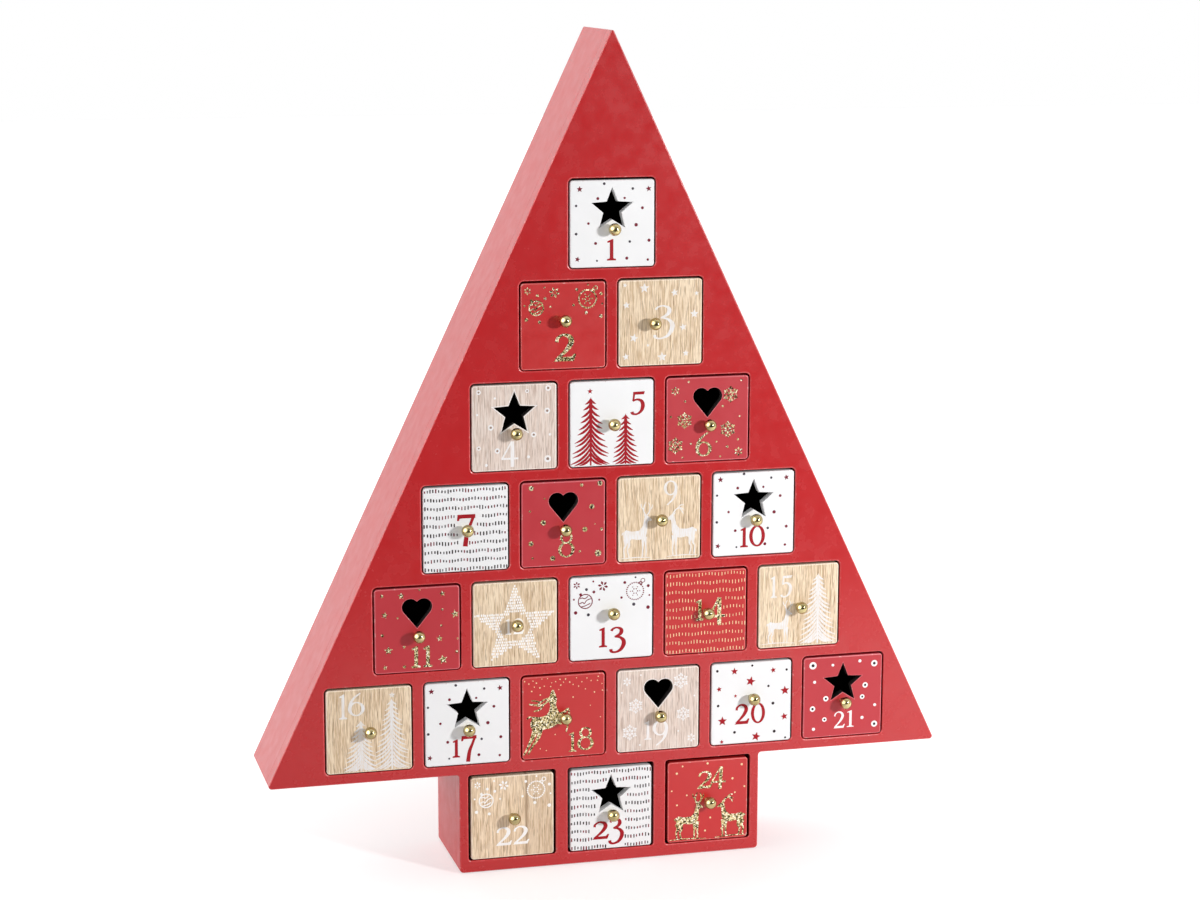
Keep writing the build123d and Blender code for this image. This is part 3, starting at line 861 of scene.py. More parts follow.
    def stag(self, ink):
        """Leaping stag: hide, then hind legs, forelegs, tail and antlers."""
        hide = [(-16.0, 0.9), (-17.6, -2.8), (-16.6, -5.8), (-14.0, -7.8), (-11.5, -6.6), (-8.0, -6.0), (-4.4, -4.6)]
        hide += [(-2.4, -2.2), (-1.6, 0.8), (-3.2, 3.8), (-4.0, 6.4), (-3.6, 9.6), (-4.6, 12.6), (-5.6, 14.6)]
        hide += [(-6.8, 13.0), (-7.6, 10.2), (-8.4, 9.0), (-7.2, 6.8), (-7.6, 3.6), (-9.4, 1.2), (-12.6, 0.4)]
        self.shape(ink, curve(hide + hide[:1], 4)[:-1])
        for limb in (
            [(-14.6, -5.4, 3.4), (-16.4, -10.2, 2.2), (-18.6, -14.6, 1.2), (-21.0, -19.3, 0.9)],
            [(-12.4, -5.6, 3.2), (-13.4, -10.4, 1.8), (-16.4, -14.8, 1.1), (-18.8, -19.0, 0.9)],
            [(-3.4, 0.2, 2.8), (0.4, 2.2, 1.5), (2.4, 3.8, 1.0), (2.9, 0.2, 0.8), (2.8, -3.4, 0.7)],
            [(-3.8, -2.6, 2.6), (-0.6, -3.6, 1.3), (2.0, -4.4, 0.9), (1.8, -6.6, 0.8), (1.2, -8.4, 0.7)],
            [(-16.4, 0.4, 0.5), (-18.2, 0.6, 1.0), (-19.6, -0.4, 0.4)],
            [(-7.4, 10.0, 1.1), (-10.6, 9.2, 0.95), (-14.0, 7.0, 0.9), (-18.2, 7.6, 0.7)],
            [(-12.4, 8.2, 0.8), (-14.6, 9.0, 0.8), (-17.0, 9.4, 0.6)],
            [(-7.4, 9.2, 1.1), (-10.2, 7.2, 0.95), (-12.6, 4.4, 0.9), (-15.8, 3.6, 0.6)],
            [(-9.8, 7.6, 0.8), (-12.0, 6.6, 0.8), (-14.2, 6.2, 0.6)],
        ):
            self.line(ink, *limb, steps=4)

    def dashes(self, choose, rng, clear, wide_range=(0.5, 0.7), step_range=(1.35, 1.7)):
        """Rows of short upright dashes that wander a little. clear lists boxes that stay empty."""
        for row in range(DASH_ROWS):
            level = DASH_TOP - row * DASH_PITCH
            phase = rng.uniform(0, DASH_PHASE)
            x = -DASH_REACH + rng.uniform(0, DASH_START)
            while x < DASH_REACH:
                z = level + DASH_SWAY * math.sin(x * DASH_WAVE + phase)
                tall, wide = rng.uniform(*DASH_TALL), rng.uniform(*wide_range)
                if not any(left < x < right and low < z < high for left, right, low, high in clear):
                    corner = min(wide, tall) * DASH_CORNER
                    loop = rectangle(x - wide / 2, x + wide / 2, z - tall / 2, z + tall / 2, corner)
                    self.shape(choose(rng), loop[::2])
                x += rng.uniform(*step_range)

    def star_field(self, ink, rng):
        """A star filled with rows of small marks."""
        field = star(FIELD_X, FIELD_Z, FIELD_R, FIELD_NOTCH)
        for row in range(FIELD_ROWS):
            place = FIELD_LEFT + FIELD_STEP / 2 * (row % 2)
            while place < FIELD_RIGHT:
                x = place + rng.uniform(-FIELD_JITTER_X, FIELD_JITTER_X)
                z = FIELD_TOP - row * FIELD_PITCH + rng.uniform(-FIELD_JITTER_Z, FIELD_JITTER_Z)
                if inside((x, z), field) and math.hypot(x - FIELD_X, z - FIELD_Z) > FIELD_OPEN_R:
                    tall, wide = rng.uniform(*FIELD_TALL), rng.uniform(*FIELD_WIDE)
                    self.shape(ink, rectangle(x - wide / 2, x + wide / 2, z - tall / 2, z + tall / 2))
                place += FIELD_STEP

    def baubles(self, line_ink, dot_ink, spare_ink, bold=1.0):
        """Two hanging baubles, two snow crystals and scattered dots above the knob."""
        self.flakes(line_ink, (-18.3, 17.9, 1.8), (-4.5, 16.8, 2.6, 0.3))
        self.rings(line_ink, (-13.8, 9.3, 3.95), inner=1 - 0.17 * bold)
        for band in (
            [(-16.9, 8.2), (-15.2, 8.9), (-14.4, 8.2), (-12.9, 9.9), (-10.8, 10.6)],
            [(-16.6, 10.9), (-15.4, 11.2), (-14.0, 10.8), (-12.4, 11.9)],
            [(-15.9, 6.6), (-14.2, 6.9), (-12.8, 7.4), (-11.2, 8.2)],
        ):
            self.line(line_ink, *[(x, z, 0.6 * bold) for x, z in band])
        self.shape(line_ink, [(-16.6, 12.1), (-15.4, 12.8), (-16.0, 13.9), (-17.1, 13.3)])
        middle_x, middle_z = 12.5, 13.2
        for count, reach, radius in ((26, 4.5, 0.5), (6, 1.3, 0.46), (6, 2.5, 0.38)):
            for k in range(count):
                t = 2 * math.pi * k / count
                self.dot(line_ink, middle_x + reach * math.cos(t), middle_z + reach * math.sin(t), radius * bold)
        self.line(line_ink, (14.3, 17.0, 0.5), (15.3, 18.0, 0.5), (16.2, 17.2, 0.5), (15.2, 16.2, 0.5))
        self.rings(line_ink, (16.6, 18.6, 1.2), inner=1 - 0.38 * bold)
        spots = [(-9.6, 19.5, 0.5), (-9.3, 14.0, 0.75), (-19.8, 10.6, 0.5), (-6.5, 9.8, 0.5), (-18.9, 3.6, 0.9)]
        spots += [(7.0, 18.0, 0.75), (19.5, 15.6, 0.8), (5.3, 10.2, 0.65), (20.1, 10.6, 0.5), (19.4, 4.3, 0.95)]
        self.dots(dot_ink, *spots)
        self.dots(spare_ink, (-13.2, 15.5, 0.75), (-12.2, 2.2, 0.8), (12.7, 20.4, 0.5), (11.8, 6.3, 0.85))

    def sprinkle(self, dx, dz):
        """Small stars and dots round a cut star."""

        def moved(*spots):
            return [(x + dx, z + dz, radius) for x, z, radius in spots]

        self.stars("berry", *moved((-16.8, 17.4, 1.6), (18.7, 17.0, 1.55), (-17.9, -17.4, 1.45)))
        spots = [(-7.5, 12.6, 0.75), (6.3, 12.6, 0.6), (15.5, 7.5, 0.75), (-12.3, 0.3, 0.65), (12.3, -0.9, 0.9)]
        spots += [(-8.6, -9.7, 0.75), (19.0, -8.8, 0.8), (7.5, -17.5, 0.8), (18.4, -18.5, 0.65)]
        self.dots("berry", *moved(*spots))
        spots = [(-4.2, 19.9, 0.7), (10.5, 17.2, 0.65), (-18.6, 9.2, 0.6), (-18.6, -4.8, 0.7), (9.0, -9.2, 0.65)]
        self.dots("grey", *moved(*spots, (-7.9, -18.4, 0.5)))


# The box that each figure of a drawer's number fills: left, right, low and high, with lean and ink spread where given
FIGURES = {
    1: ("red", (-2.5, 1.7, -18.2, -8.0)),
    2: ("gold", (-4.1, 6.3, -17.6, -4.2)),
    3: ("white", (-3.9, 7.5, -8.6, 8.7, 0.0, 0.0)),
    4: ("white", (-6.6, 1.9, -19.8, -7.0)),
    5: ("red", (9.9, 17.0, 3.8, 15.5)),
    6: ("gold", (-6.2, 2.2, -19.1, -7.0, 0.0, 0.14)),
    7: ("red", (-4.2, 4.7, -8.8, 7.2)),
    8: ("gold", (-2.6, 5.6, -17.4, -4.2, 0.0, 0.14)),
    9: ("white", (2.4, 9.4, 6.8, 19.4)),
    10: ("red", (-6.8, -3.1, -17.4, -7.4), (-2.0, 6.1, -17.4, -6.5)),
    11: ("gold", (-2.7, 1.2, -19.3, -8.7), (3.3, 7.2, -19.3, -8.7)),
    12: ("bright", (-4.9, -2.2, -5.4, 2.6), (-0.9, 4.4, -5.4, 2.6)),
    13: ("red", (-6.3, -2.5, -15.2, -5.2), (-0.9, 7.5, -18.7, -5.2)),
    14: ("gold", (-5.1, -1.5, -4.3, 6.3), (1.9, 10.1, -7.3, 6.8)),
    15: ("white", (-15.3, -12.1, 5.1, 16.4), (-10.0, -3.9, 4.9, 16.4)),
    16: ("white", (-14.9, -11.2, 6.8, 19.5), (-10.4, -2.2, 8.0, 19.8)),
    17: ("red", (-7.5, -4.1, -17.5, -8.4), (-3.0, 4.5, -20.2, -6.8)),
    18: ("gold", (2.8, 6.5, -19.1, -9.0, 0.0, 0.1), (7.4, 15.7, -18.7, -6.8, 0.0, 0.18)),
    19: ("white", (-7.3, -3.9, -15.8, -6.0), (-2.9, 5.2, -19.4, -6.0)),
    20: ("red", (-8.5, -1.2, -11.1, -0.6), (0.1, 7.4, -11.3, -0.5)),
    21: ("white", (-4.6, 1.5, -17.4, -8.4, 0.0, 0.03), (2.7, 6.5, -17.2, -8.2, 0.0, 0.03)),
    22: ("bright", (-8.5, -0.4, -15.2, -5.6), (0.5, 8.7, -15.2, -5.6)),
    23: ("red", (-9.4, -1.2, -16.2, -6.9), (-1.2, 6.8, -19.6, -5.9)),
    24: ("gold", (-5.6, 2.2, 6.7, 15.8, 0.06, 0.14), (1.6, 9.4, 5.8, 17.6, 0.06, 0.14)),
}

# Falling snow above the stag of drawer 18
SNOW = [(-20.5, 19.7), (-16.1, 19.7), (-11.4, 20.5), (-8.5, 20.5), (-1.9, 19.7), (1.0, 19.7), (6.8, 19.9)]
SNOW += [(12.3, 19.4), (18.3, 19.9), (-18.3, 18.3), (-14.3, 18.5), (-6.3, 18.1), (-4.2, 18.6), (-0.1, 18.1)]
SNOW += [(5.0, 16.5), (14.5, 17.9), (17.9, 17.8), (-15.4, 16.5), (-12.5, 15.9), (-10.2, 16.6), (-6.8, 16.2)]
SNOW += [(-1.5, 16.6), (7.9, 15.4), (11.5, 13.7), (-16.8, 14.3), (-2.6, 14.3), (20.3, 15.9), (-12.3, 12.1)]
SNOW += [(16.3, 11.7), (20.5, 12.4), (5.0, 9.8), (14.1, 4.8), (19.5, -1.7), (-12.4, -16.4), (-9.2, -17.6)]
SNOW += [(-4.5, -9.4), (9.6, 17.6), (3.2, 17.9)]
SNOW_R = (0.24, 0.38)


def dark_or_berry(rng):
    return "dark" if rng.random() < 0.75 else "berry"


def ornaments():
    """Printing of all the fronts, by drawer number."""
    art = {number: Ornament() for number in slot_of}
    rng = random.Random(24)
    art[1].sprinkle(0.0, 0.0)
    art[10].sprinkle(-1.2, 1.1)
    art[17].sprinkle(-1.6, 0.4)
    art[2].baubles("gold", "gold", "gold")
    art[13].baubles("berry", "berry", "grey", 0.72)
    art[22].baubles("bright", "bright", "bright", 0.9)

    art[3].stars("white", (-8.5, 17.6, 2.6), (7.3, 14.9, 2.0), (-18.6, 19.3, 1.2), (-17.8, 9.2, 1.9), (18.8, 14.2, 1.3))
    spots = [(17.7, 3.8, 2.3), (11.9, -2.8, 1.9), (-13.9, -7.5, 2.3), (-18.0, -16.9, 1.9), (0.9, -17.6, 2.6)]
    art[3].stars("white", *spots)
    art[3].stars("white", (13.4, -16.1, 1.7), (-6.5, -11.4, 0.9))

    spots = [(-18.2, 18.5, 1.2), (17.4, 19.4, 1.5), (6.6, 18.3, 1.0), (16.9, 7.9, 1.5), (-12.1, 0.5, 1.5)]
    spots += [(9.9, -4.0, 1.4), (-18.3, -9.8, 1.1), (-8.8, -11.5, 1.4), (17.1, -16.6, 1.8)]
    art[4].rings("white", *spots, eye="taupe")
    spots = [(7.2, -15.2, 0.8), (-14.5, -18.5, 0.8), (-19.0, 7.2, 0.6), (18.3, -4.2, 0.7), (-9.9, 15.2, 0.6)]
    art[4].dots("white", *spots)
    # Painted highlight: a white line round the cut star
    art[4].rim("white", star(0.0, STAR_RISE, STAR_R, STAR_NOTCH_R / STAR_R), STAR_HIGHLIGHT_RIM)

    art[5].stars("red", (-11.4, 16.8, 1.5))
    art[5].fir("red", -11.0, -21.2, 13.9, 10.3, rng, 2.5, 1.2)
    art[5].fir("red", 7.2, -21.2, 4.8, 7.2, rng, 2.3, 1.12)

    spots = [(-17.2, 15.0, 2.2), (12.2, 12.3, 4.0), (-12.2, -0.3, 4.0), (10.9, -5.8, 4.0), (-17.0, -13.1, 4.0)]
    art[6].flakes("gold", *spots, (16.7, -17.6, 2.3))
    spots = [(-10.1, 19.5, 0.6), (17.8, 19.4, 0.6), (-11.9, 9.5, 0.6), (-19.5, 1.8, 0.6), (17.1, 0.7, 0.5)]
    spots += [(-8.8, -12.5, 0.6), (4.8, -11.9, 0.5), (16.3, -11.2, 0.6), (10.6, -14.8, 0.7), (-13.1, -19.5, 0.5)]
    art[6].dots("gold", *spots, (6.9, -19.7, 0.5), (8.0, 6.4, 0.6))

    clear = [(-4.9, 7.4, 4.2, 8.6), (-4.6, 5.2, -0.6, 4.2), (-3.6, 3.6, -5, -0.6), (-2.8, 2.0, -10.2, -5)]
    art[7].dashes(dark_or_berry, rng, clear)
    clear = [(-5.6, 9.6, -4.6, 7.6), (4.4, 9.0, -9.0, -4.6)]
    art[14].dashes(lambda _: "cream", rng, clear, (0.3, 0.46), (1.5, 1.85))
    clear = [(-2.4, 2.6, 13, 18.6), (-11.2, 11.2, 9, 12.6), (-7.6, 7.6, -4, 9), (-10.4, 7.6, -18, -4)]
    art[23].dashes(dark_or_berry, rng, clear + [(-2.0, 7.0, -22, -18)])

    spots = [(-16.7, 19.0, 1.3), (19.0, 20.0, 1.3), (14.8, 8.1, 1.3), (-10.5, 1.0, 1.4), (11.2, -3.5, 1.3)]
    spots += [(-16.9, -9.5, 1.3), (-5.6, -17.7, 1.3), (18.1, -16.2, 1.7)]
    art[8].rings("gold", *spots, inner=0.36, eye="dark")
    spots = [(9.5, 19.5, 0.85), (19.9, -3.8, 0.8), (-9.8, 13.4, 0.45), (-17.5, 7.2, 0.55), (-16.1, -17.1, 0.55)]
    art[8].dots("gold", *spots, (8.5, -14.8, 0.6), (16.5, -1.0, 0.35))

    art[9].deer("white", -18.8, -19.5, 11.6, 14.4)
    art[9].deer("white", 18.9, -19.5, 11.6, 14.4, -1, True)
    art[9].line("white", (-20.4, -20.0, 0.25), (-12.0, -19.7, 0.5), (-4.6, -20.1, 0.25))
    art[9].line("white", (4.0, -20.1, 0.25), (12.0, -19.7, 0.5), (20.2, -20.0, 0.25))

    art[11].stars("gold", (-8.0, 18.0, 1.8), (13.0, 18.0, 1.6), (-16.5, 8.5, 1.8), (19.4, 7.1, 2.2), (11.4, -5.2, 1.7))
    art[11].stars("gold", (-14.8, -9.9, 2.3), (13.0, -16.2, 2.5), (20.2, -12.5, 1.2), (-16.6, -18.5, 1.3))
    spots = [(-17.8, 18.4, 0.8), (1.3, 20.6, 0.55), (12.8, 9.8, 0.6), (-10.0, 6.7, 0.5), (12.3, 1.5, 0.6)]
    art[11].dots("gold", *spots, (-17.8, -1.9, 0.8), (-6.8, -8.5, 0.7), (20.6, -5.7, 0.5), (-6.8, -18.7, 0.8))

    art[12].star_field("bright", rng)

    art[15].fir("white", 10.6, -20.6, 16.8, 10.4, rng, 2.2, 1.05)
    art[15].deer("white", -16.4, -19.2, 10.2, 11.4)
    art[15].line("white", (-20.6, -19.8, 0.25), (-12.0, -19.3, 0.45), (-2.0, -19.9, 0.25))
    art[16].fir("white", -4.2, -21.0, 5.6, 9.2, rng, 2.1, 1.05)
    art[16].fir("white", 11.6, -21.0, 16.0, 9.6, rng, 2.2, 0.9)
    art[16].stars("white", (11.9, 17.6, 1.7))

    art[18].stag("gold")
    art[18].dots("cream", *[(x, z, rng.uniform(*SNOW_R)) for x, z in SNOW])

    spots = [(12.0, 14.5, 4.0), (-12.1, 2.6, 3.8), (13.4, -3.3, 3.6), (-15.3, -11.3, 4.0), (-16.8, 15.8, 2.2)]
    art[19].flakes("white", *spots, (17.9, -16.5, 2.2))
    spots = [(-19.6, 10.2, 0.5), (19.4, 6.0, 0.5), (-9.4, 18.9, 0.5), (10.8, -12.4, 0.5), (-9.8, -18.4, 0.5)]
    art[19].dots("white", *spots)
    # Painted highlight: a white line round the cut heart
    art[19].rim("white", heart(0.0, HEART_TIP_RISE), HEART_HIGHLIGHT_RIM)

    art[20].stars("red", (-9.4, 17.4, 2.0), (11.8, 16.7, 1.6), (-0.5, 11.5, 2.7), (-17.6, 8.3, 1.5), (18.4, 5.3, 2.5))
    spots = [(-15.7, -9.0, 2.6), (18.2, -8.8, 2.0), (2.8, -18.6, 2.5), (-15.9, -20.2, 1.2), (-8.7, 4.1, 1.0)]
    art[20].stars("red", *spots)
    spots = [(-18.7, 18.1, 0.7), (0.3, 19.9, 0.6), (19.2, 16.5, 0.65), (9.3, 8.3, 0.65), (-18.1, -0.6, 0.7)]
    art[20].dots("dark", *spots, (11.9, -1.2, 0.8), (-9.0, -15.5, 0.75), (12.8, -16.5, 0.8), (18.9, -20.3, 0.55))

    spots = [(-16.7, 17.5, 2.0), (17.4, 16.6, 1.75), (12.5, 5.1, 1.5), (-9.3, -0.9, 1.45), (11.0, -1.2, 1.3)]
    spots += [(-16.6, -6.0, 1.5), (-9.9, -12.2, 1.25), (18.0, -16.5, 1.7)]
    art[21].rings("white", *spots, inner=0.44, eye="dark")
    spots = [(-5.7, 17.1, 0.75), (9.3, 18.4, 0.85), (-15.7, 8.5, 0.85), (18.1, -6.1, 0.85), (11.1, -12.6, 0.9)]
    art[21].dots("white", *spots, (-15.9, -17.1, 0.9))

    art[24].deer("gold", -17.0, -20.2, 11.4, 12.6, bold=1.45)
    art[24].deer("gold", 19.6, -20.2, 11.2, 12.4, -1, True, bold=1.45)
    art[24].line("gold", (-20.8, -20.4, 0.3), (-12.0, -20.2, 0.6), (-0.6, -20.8, 0.3))
    art[24].line("gold", (3.6, -20.8, 0.3), (12.0, -20.2, 0.6), (20.6, -20.4, 0.3))
    spots = [(-16.9, 15.7, 0.6), (-0.2, 20.0, 0.6), (18.5, 18.1, 0.6), (13.5, 10.8, 0.6), (-13.8, 19.4, 0.45)]
    spots += [(20.1, 6.0, 0.5), (-16.7, -1.5, 0.5), (-11.4, 3.5, 0.45), (1.5, -9.6, 0.5), (-1.3, -16.5, 0.5)]
    art[24].dots("cream", *spots, (14.9, 3.1, 0.45), (-19.6, 6.4, 0.4), (7.6, -16.0, 0.45))

    for number, (ink, *boxes) in FIGURES.items():
        for figure, box in zip(str(number), boxes):
            art[number].numeral(ink, figure, *box)
    return art


# Cabinet


def both_sides(right):
    """A loop from its right half, which ends on the middle line."""
    return right + [(-x, z) for x, z in reversed(right[:-1])]


def make_panel():
    tip = half_width(branch_level)
    right = [(trunk_half, 0.0), (trunk_half, branch_level), (tip, branch_level), (0.0, apex_level)]
    radii = [TRUNK_FOOT_R, TRUNK_NECK_R, TIP_R, APEX_R, TIP_R, TRUNK_NECK_R, TRUNK_FOOT_R]
    loops = [rounded(both_sides(right), radii)]
    for _, x, _, sill in drawer_places():
        wide, tall, corner = OPENING, OPENING, OPENING_CORNER_R
        if sill == TRUNK_RAIL:
            wide, tall, corner = OPENING + TRUNK_EXTRA_WIDTH, OPENING + TRUNK_EXTRA_HEIGHT, FRONT_CORNER_R
        loops.append(cw(rectangle(x - wide / 2, x + wide / 2, sill, sill + tall, corner)))
    piece = Piece()
    # The eased edges take the lighter red of a painted highlight; the walls of the openings take near-black board,
    # painted shade.
    piece.slab(loops, panel_front, panel_rear, (PANEL_EASE, RIM_EASE), JOINT_EASE, finish=0, edge=1, side=2, cut=3)
    finishes = [cabinet_red, cabinet_edge_highlight_and_wear, cabinet_side, shaded_opening_wall]
    piece.make("tree_front", "cabinet", finishes, ["front_panel"])


def make_wall(name, node, loop, front=panel_rear, ease=JOINT_EASE):
    piece = Piece()
    piece.slab([ccw(loop)], front, cabinet_rear, (ease,), BOARD_EASE)
    piece.make(name, "cabinet", [cabinet_side], [node])


def slope_loop(tip, inner_tip):
    """Section of the right sloping wall, with its share of the rounded apex."""
    corners = [(0.0, apex_level), (0.0, inner_apex), (inner_tip, branch_level), (tip, branch_level)]
    top = apex_level - APEX_R / math.sin(slope_angle) + APEX_R
    ridge = [(0.0, top)]
    for k in range(1, CORNER_STEPS + 1):
        t = math.pi / 2 - (math.pi / 2 - slope_angle) * k / CORNER_STEPS
        ridge.append((APEX_R * math.cos(t), top - APEX_R + APEX_R * math.sin(t)))
    return ridge[::-1] + rounded(corners, [0.0, 0.0, 0.0, TIP_R])[1:]


def make_cabinet():
    make_panel()
    tip, inner_tip = half_width(branch_level), half_width(branch_level, SLOPE_T)
    eave_end = half_width(low_shelf, SLOPE_T)
    eave = [(trunk_half, branch_level), (inner_tip, branch_level), (eave_end, low_shelf), (trunk_half, low_shelf)]
    wall = [(trunk_inner, 0.0), (trunk_half, 0.0), (trunk_half, low_shelf), (trunk_inner, low_shelf)]
    for side, sign in (("left", -1), ("right", 1)):
        for name, node, loop in (
            ("_slope", "_slope_wall", slope_loop(tip, inner_tip)),
            ("_branch_underside", "_eave", eave),
            ("_trunk_side", "_trunk_wall", rounded(wall, [0.0, TRUNK_FOOT_R, 0.0, 0.0])),
        ):
            make_wall(side + name, side + node, [(sign * x, z) for x, z in loop])
    make_wall("trunk_base", "trunk_floor", rectangle(-trunk_inner, trunk_inner, 0.0, trunk_floor_top))
    right = [(trunk_inner, trunk_floor_top), (trunk_inner, low_shelf), (eave_end, low_shelf), (0.0, inner_apex)]
    make_wall("tree_back", "back_panel", both_sides(right), back_front, 0.0)
    for node in ("shelves", "tree_dividers", "trunk_dividers"):
        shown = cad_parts[node]
        shown.data.materials.clear()
        shown.data.materials.append(bare_board)


# Drawers


def knob_spot(number):
    if number in STARS or number in HEARTS:
        return 0.0, -PIERCED_KNOB_DROP
    if number in HIGH_KNOBS:
        return 0.0, HIGH_KNOB_RISE
    if number in LEFT_KNOBS:
        return -LEFT_KNOB_SHIFT, 0.0
    return 0.0, 0.0


def make_front(number, x, level, body, slot):
    half = front_size / 2
    loops = [rectangle(x - half, x + half, level - half, level + half, FRONT_CORNER_R)]
    if number in STARS:
        loops.append(cw(star(x, level + STAR_RISE, STAR_R, STAR_NOTCH_R / STAR_R)))
    if number in HEARTS:
        loops.append(cw(heart(x, level + HEART_TIP_RISE)))
    face = front_finish["drawer_oak_banded" if number == BANDED_DRAWER else slot]
    # The walls of the cuts in the dark-red and whitewashed fronts are black, painted shade; the eased edges take the
    # lighter edge finish, a painted highlight except on the white fronts.
    cut = 0 if slot == "drawer_white" else 2
    front = Piece()
    front.slab(loops, panel_front, front_rear, (FRONT_EASE, CUT_EASE), CUT_EASE, finish=0, edge=1, cut=cut)
    front.make(body + "_front", body, [face, edge_wear_and_highlight[slot], tray_black_and_cut_shade], [body + "_box"])


def make_tray(x, level, body):
    outer = front_size / 2 - TRAY_INSET
    inner = outer - TRAY_T
    foot, rim = level - front_size / 2, level + front_size / 2 - TRAY_RIM_DROP
    rear = back_front - STOP_GAP
    tray = Piece()
    for left, right, low, high, start in (
        (x - outer, x - inner, foot, rim, front_rear),
        (x + inner, x + outer, foot, rim, front_rear),
        (x - inner, x + inner, foot, foot + TRAY_T, front_rear),
        (x - inner, x + inner, foot + TRAY_T, rim, rear - TRAY_T),
    ):
        tray.slab([rectangle(left, right, low, high, BOARD_EASE)], start, rear, (0.0,), BOARD_EASE)
    tray.make(body + "_tray", body, [tray_black_and_cut_shade], [body + "_box"])


def make_knob(number, x, level, body):
    profile = list(KNOB_FOOT)
    for k in range(BALL_STEPS + 1):
        t = BALL_START + (math.pi / 2 - BALL_START) * k / BALL_STEPS
        profile.append((BALL_REACH + BALL_R * math.sin(t), BALL_R * math.cos(t)))
    spot_x, spot_z = knob_spot(number)
    knob = Piece()
    knob.lathe(profile, x + spot_x, level + spot_z, panel_front, KNOB_SIDES)
    knob.make(body + "_ball_knob", body, [knob_brass], [body + "_knob"])


def make_printing(shapes, x, level, body, slot):
    """A film for each ink, each a little prouder than the last. White is thin on wood."""
    white = {"drawer_oak": "chalk", "drawer_whitewashed": "veil"}.get(slot, "white")
    used = sorted({ink for ink, _ in shapes})
    printing = Piece()
    for order, ink in enumerate(used):
        moved = [[[(x + a, level + b) for a, b in loop] for loop in shape] for name, shape in shapes if name == ink]
        printing.film(moved, panel_front - INK_T - INK_STEP * order, panel_front + INK_SINK, order)
    printing.make(body + "_print", body, [inks[white if ink == "white" else ink] for ink in used])


def make_drawers():
    art = ornaments()
    for number, x, level, _ in drawer_places():
        body, slot = f"drawer_{number:02d}", slot_of[number]
        make_front(number, x, level, body, slot)
        make_tray(x, level, body)
        make_knob(number, x, level, body)
        make_printing(art[number].shapes, x, level, body, slot)


make_cabinet()
make_drawers()

# Stage, in metres: white floor, white surroundings, one soft key from the front right. An EDGE is the range of
# directions or places over which a level goes over to the next.

AMBIENT, LEFT_FILL, FILL_WAY, FILL_EDGE = 0.36, 2.6, (-0.8, 0.6, 0.0), (0.3, 0.9)
FRONT_GLOSS, SIDE_GLOSS, SIDE_EDGE = 0.10, 0.22, (0.15, 0.45)
WINDOW_GLOSS, WINDOW_WAY, WINDOW_EDGE = 1.7, (-0.62, -0.62, 0.48), (0.88, 0.94)
BOX_GLOSS, BOX_WAY, BOX_EDGE = 6.0, (-0.885, -0.308, 0.348), (0.82, 0.92)
REAR_GLOSS, REAR_EDGE = 1.35, (-0.92, -0.1)
FLOOR_X, FLOOR_Y, FLOOR_DROP = (-4.0, 4.0), (-0.5, 6.0), -0.0004
FLOOR_TONE, FLOOR_SEEN_TONE, FLOOR_LIFT, FLOOR_FAR_LIFT = 0.76, 0.60, 0.50, 0.72
FLOOR_LIFT_EDGE = (0.09, 0.24)
FLOOR_GLOSS, FLOOR_SIDE_GLOSS, FLOOR_REAR_GLOSS = 0.1, 1.25, 1.0
FLOOR_SIDE_EDGE, FLOOR_REAR_EDGE = (-0.15, 0.25), (0.03, 0.35)
KEY_POWER, KEY_SIZE, KEY_PLACE, KEY_AIM = 7.5, 0.12, (0.58, -0.79, 0.43), (0.1, -0.1, -0.2)
SENSOR_WIDTH_MM, LENS_MM, CLIP = 36.0, 80.81, (0.01, 50.0)
CAMERA_PLACE = (-0.3480, -1.3197, 0.4691)
CAMERA_AHEAD, CAMERA_UP = (0.2514, 0.9500, -0.1850), (0.0459, 0.1792, 0.9827)
WHITE_LIGHT = (1.0, 1.0, 1.0, 1.0)


def make_floor():
    """To the camera, darker where the shadow lies and white further off. In gloss, brighter on the right and behind."""
    mesh = bpy.data.meshes.new("floor")
    corners = [(x, y, FLOOR_DROP) for x, y in rectangle(*FLOOR_X, *FLOOR_Y)]
    mesh.from_pydata(corners, [], [(0, 1, 2, 3)])
    floor = linked("floor", mesh)
    f = Finish("floor_white", Roughness=0.8, Specular_IOR_Level=0.1, Emission_Color=WHITE_LIGHT)
    path = f.add("ShaderNodeLightPath").outputs
    seen = path["Is Camera Ray"]
    f.drive("Base Color", f.spread(seen, 0.0, 1.0, FLOOR_TONE, FLOOR_SEEN_TONE))
    spot = f.split(f.place)
    sheen = f.spread(spot["X"], *FLOOR_SIDE_EDGE, FLOOR_GLOSS, FLOOR_SIDE_GLOSS)
    sheen = f.spread(spot["Y"], *FLOOR_REAR_EDGE, sheen, FLOOR_REAR_GLOSS)
    reach = f.add("ShaderNodeVectorMath", (0, f.place), operation="LENGTH").outputs["Value"]
    lift = f.spread(reach, *FLOOR_LIFT_EDGE, FLOOR_LIFT, FLOOR_FAR_LIFT)
    unseen = f.math("MULTIPLY", path["Is Glossy Ray"], sheen)
    f.drive("Emission Strength", f.spread(seen, 0.0, 1.0, unseen, lift))
    mesh.materials.append(f.material)


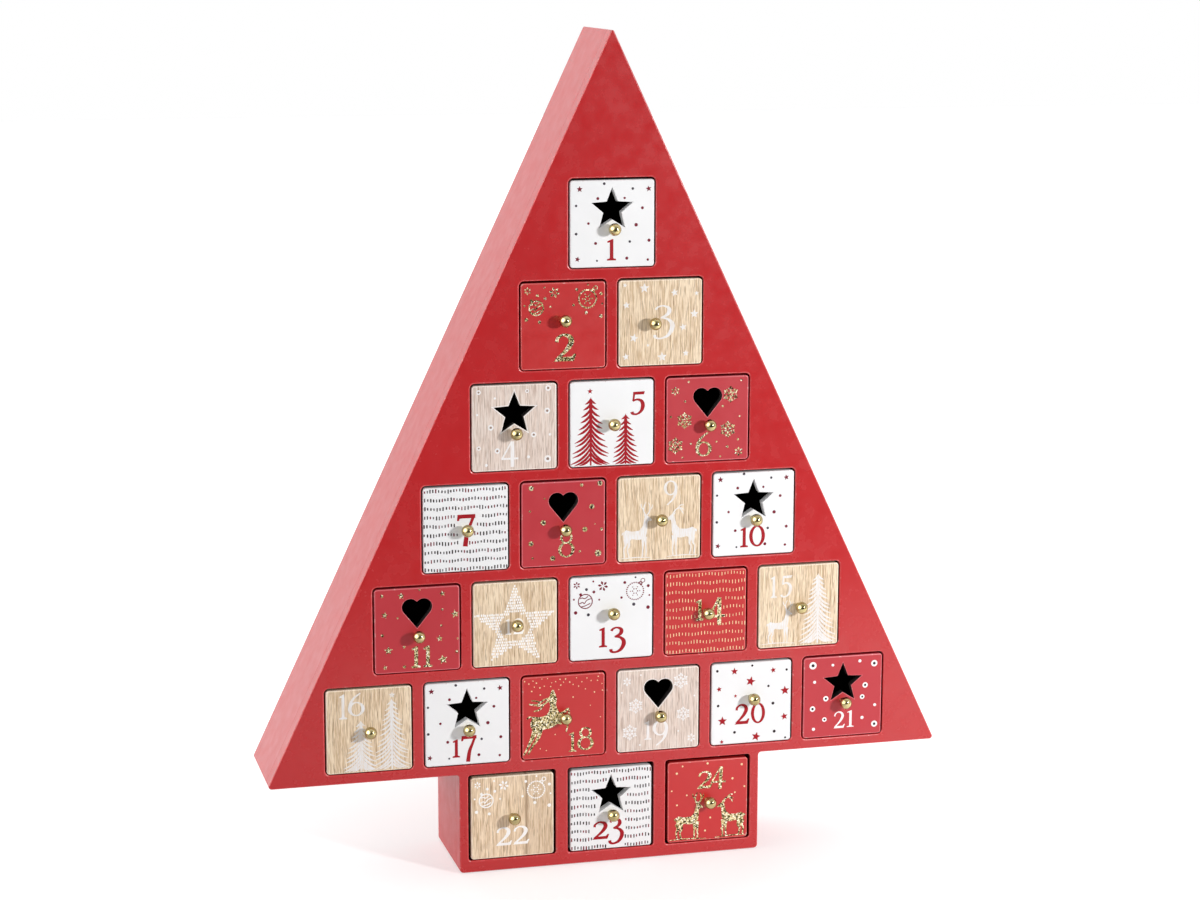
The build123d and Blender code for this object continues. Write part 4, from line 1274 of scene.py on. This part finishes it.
def make_world():
    """White to the camera. Gloss sees a dim room in front, with a window and a soft box on the left, and white behind.
    A broad fill comes from behind on the left."""
    world = bpy.data.worlds.new("studio")
    bpy.context.scene.world = world
    w = Nodes(world)
    path = w.add("ShaderNodeLightPath").outputs
    spot = w.add("ShaderNodeTexCoord").outputs["Generated"]
    toward = w.split(spot)

    def facing(way):
        return w.add("ShaderNodeVectorMath", (0, spot), (1, way), operation="DOT_PRODUCT").outputs["Value"]

    gloss = w.spread(toward["X"], *SIDE_EDGE, FRONT_GLOSS, SIDE_GLOSS)
    gloss = w.spread(facing(WINDOW_WAY), *WINDOW_EDGE, gloss, WINDOW_GLOSS)
    gloss = w.spread(toward["Y"], *REAR_EDGE, gloss, REAR_GLOSS)
    gloss = w.spread(facing(BOX_WAY), *BOX_EDGE, gloss, BOX_GLOSS)
    fill = w.spread(facing(FILL_WAY), *FILL_EDGE, AMBIENT, LEFT_FILL)
    unseen = w.spread(path["Is Glossy Ray"], 0.0, 1.0, fill, gloss)
    backdrop = w.nodes["Background"].inputs
    w.put(backdrop["Strength"], w.spread(path["Is Camera Ray"], 0.0, 1.0, unseen, 1.0))
    backdrop["Color"].default_value = WHITE_LIGHT


def make_key():
    data = bpy.data.lights.new("key", "AREA")
    data.shape, data.size, data.energy = "DISK", KEY_SIZE, KEY_POWER
    lamp = linked("key", data)
    lamp.location = KEY_PLACE
    lamp.rotation_mode = "QUATERNION"
    lamp.rotation_quaternion = (Vector(KEY_AIM) - Vector(KEY_PLACE)).to_track_quat("-Z", "Y")


def make_camera():
    data = bpy.data.cameras.new("camera")
    data.sensor_width, data.lens = SENSOR_WIDTH_MM, LENS_MM
    data.clip_start, data.clip_end = CLIP
    camera = linked("camera", data)
    ahead = Vector(CAMERA_AHEAD).normalized()
    right = ahead.cross(Vector(CAMERA_UP)).normalized()
    turn = Matrix((right, right.cross(ahead), -ahead)).transposed()
    camera.rotation_mode = "QUATERNION"
    camera.rotation_quaternion = turn.to_quaternion()
    camera.location = CAMERA_PLACE
    bpy.context.scene.camera = camera


make_floor()
make_world()
make_key()
make_camera()
bpy.context.scene.view_settings.view_transform = "Standard"
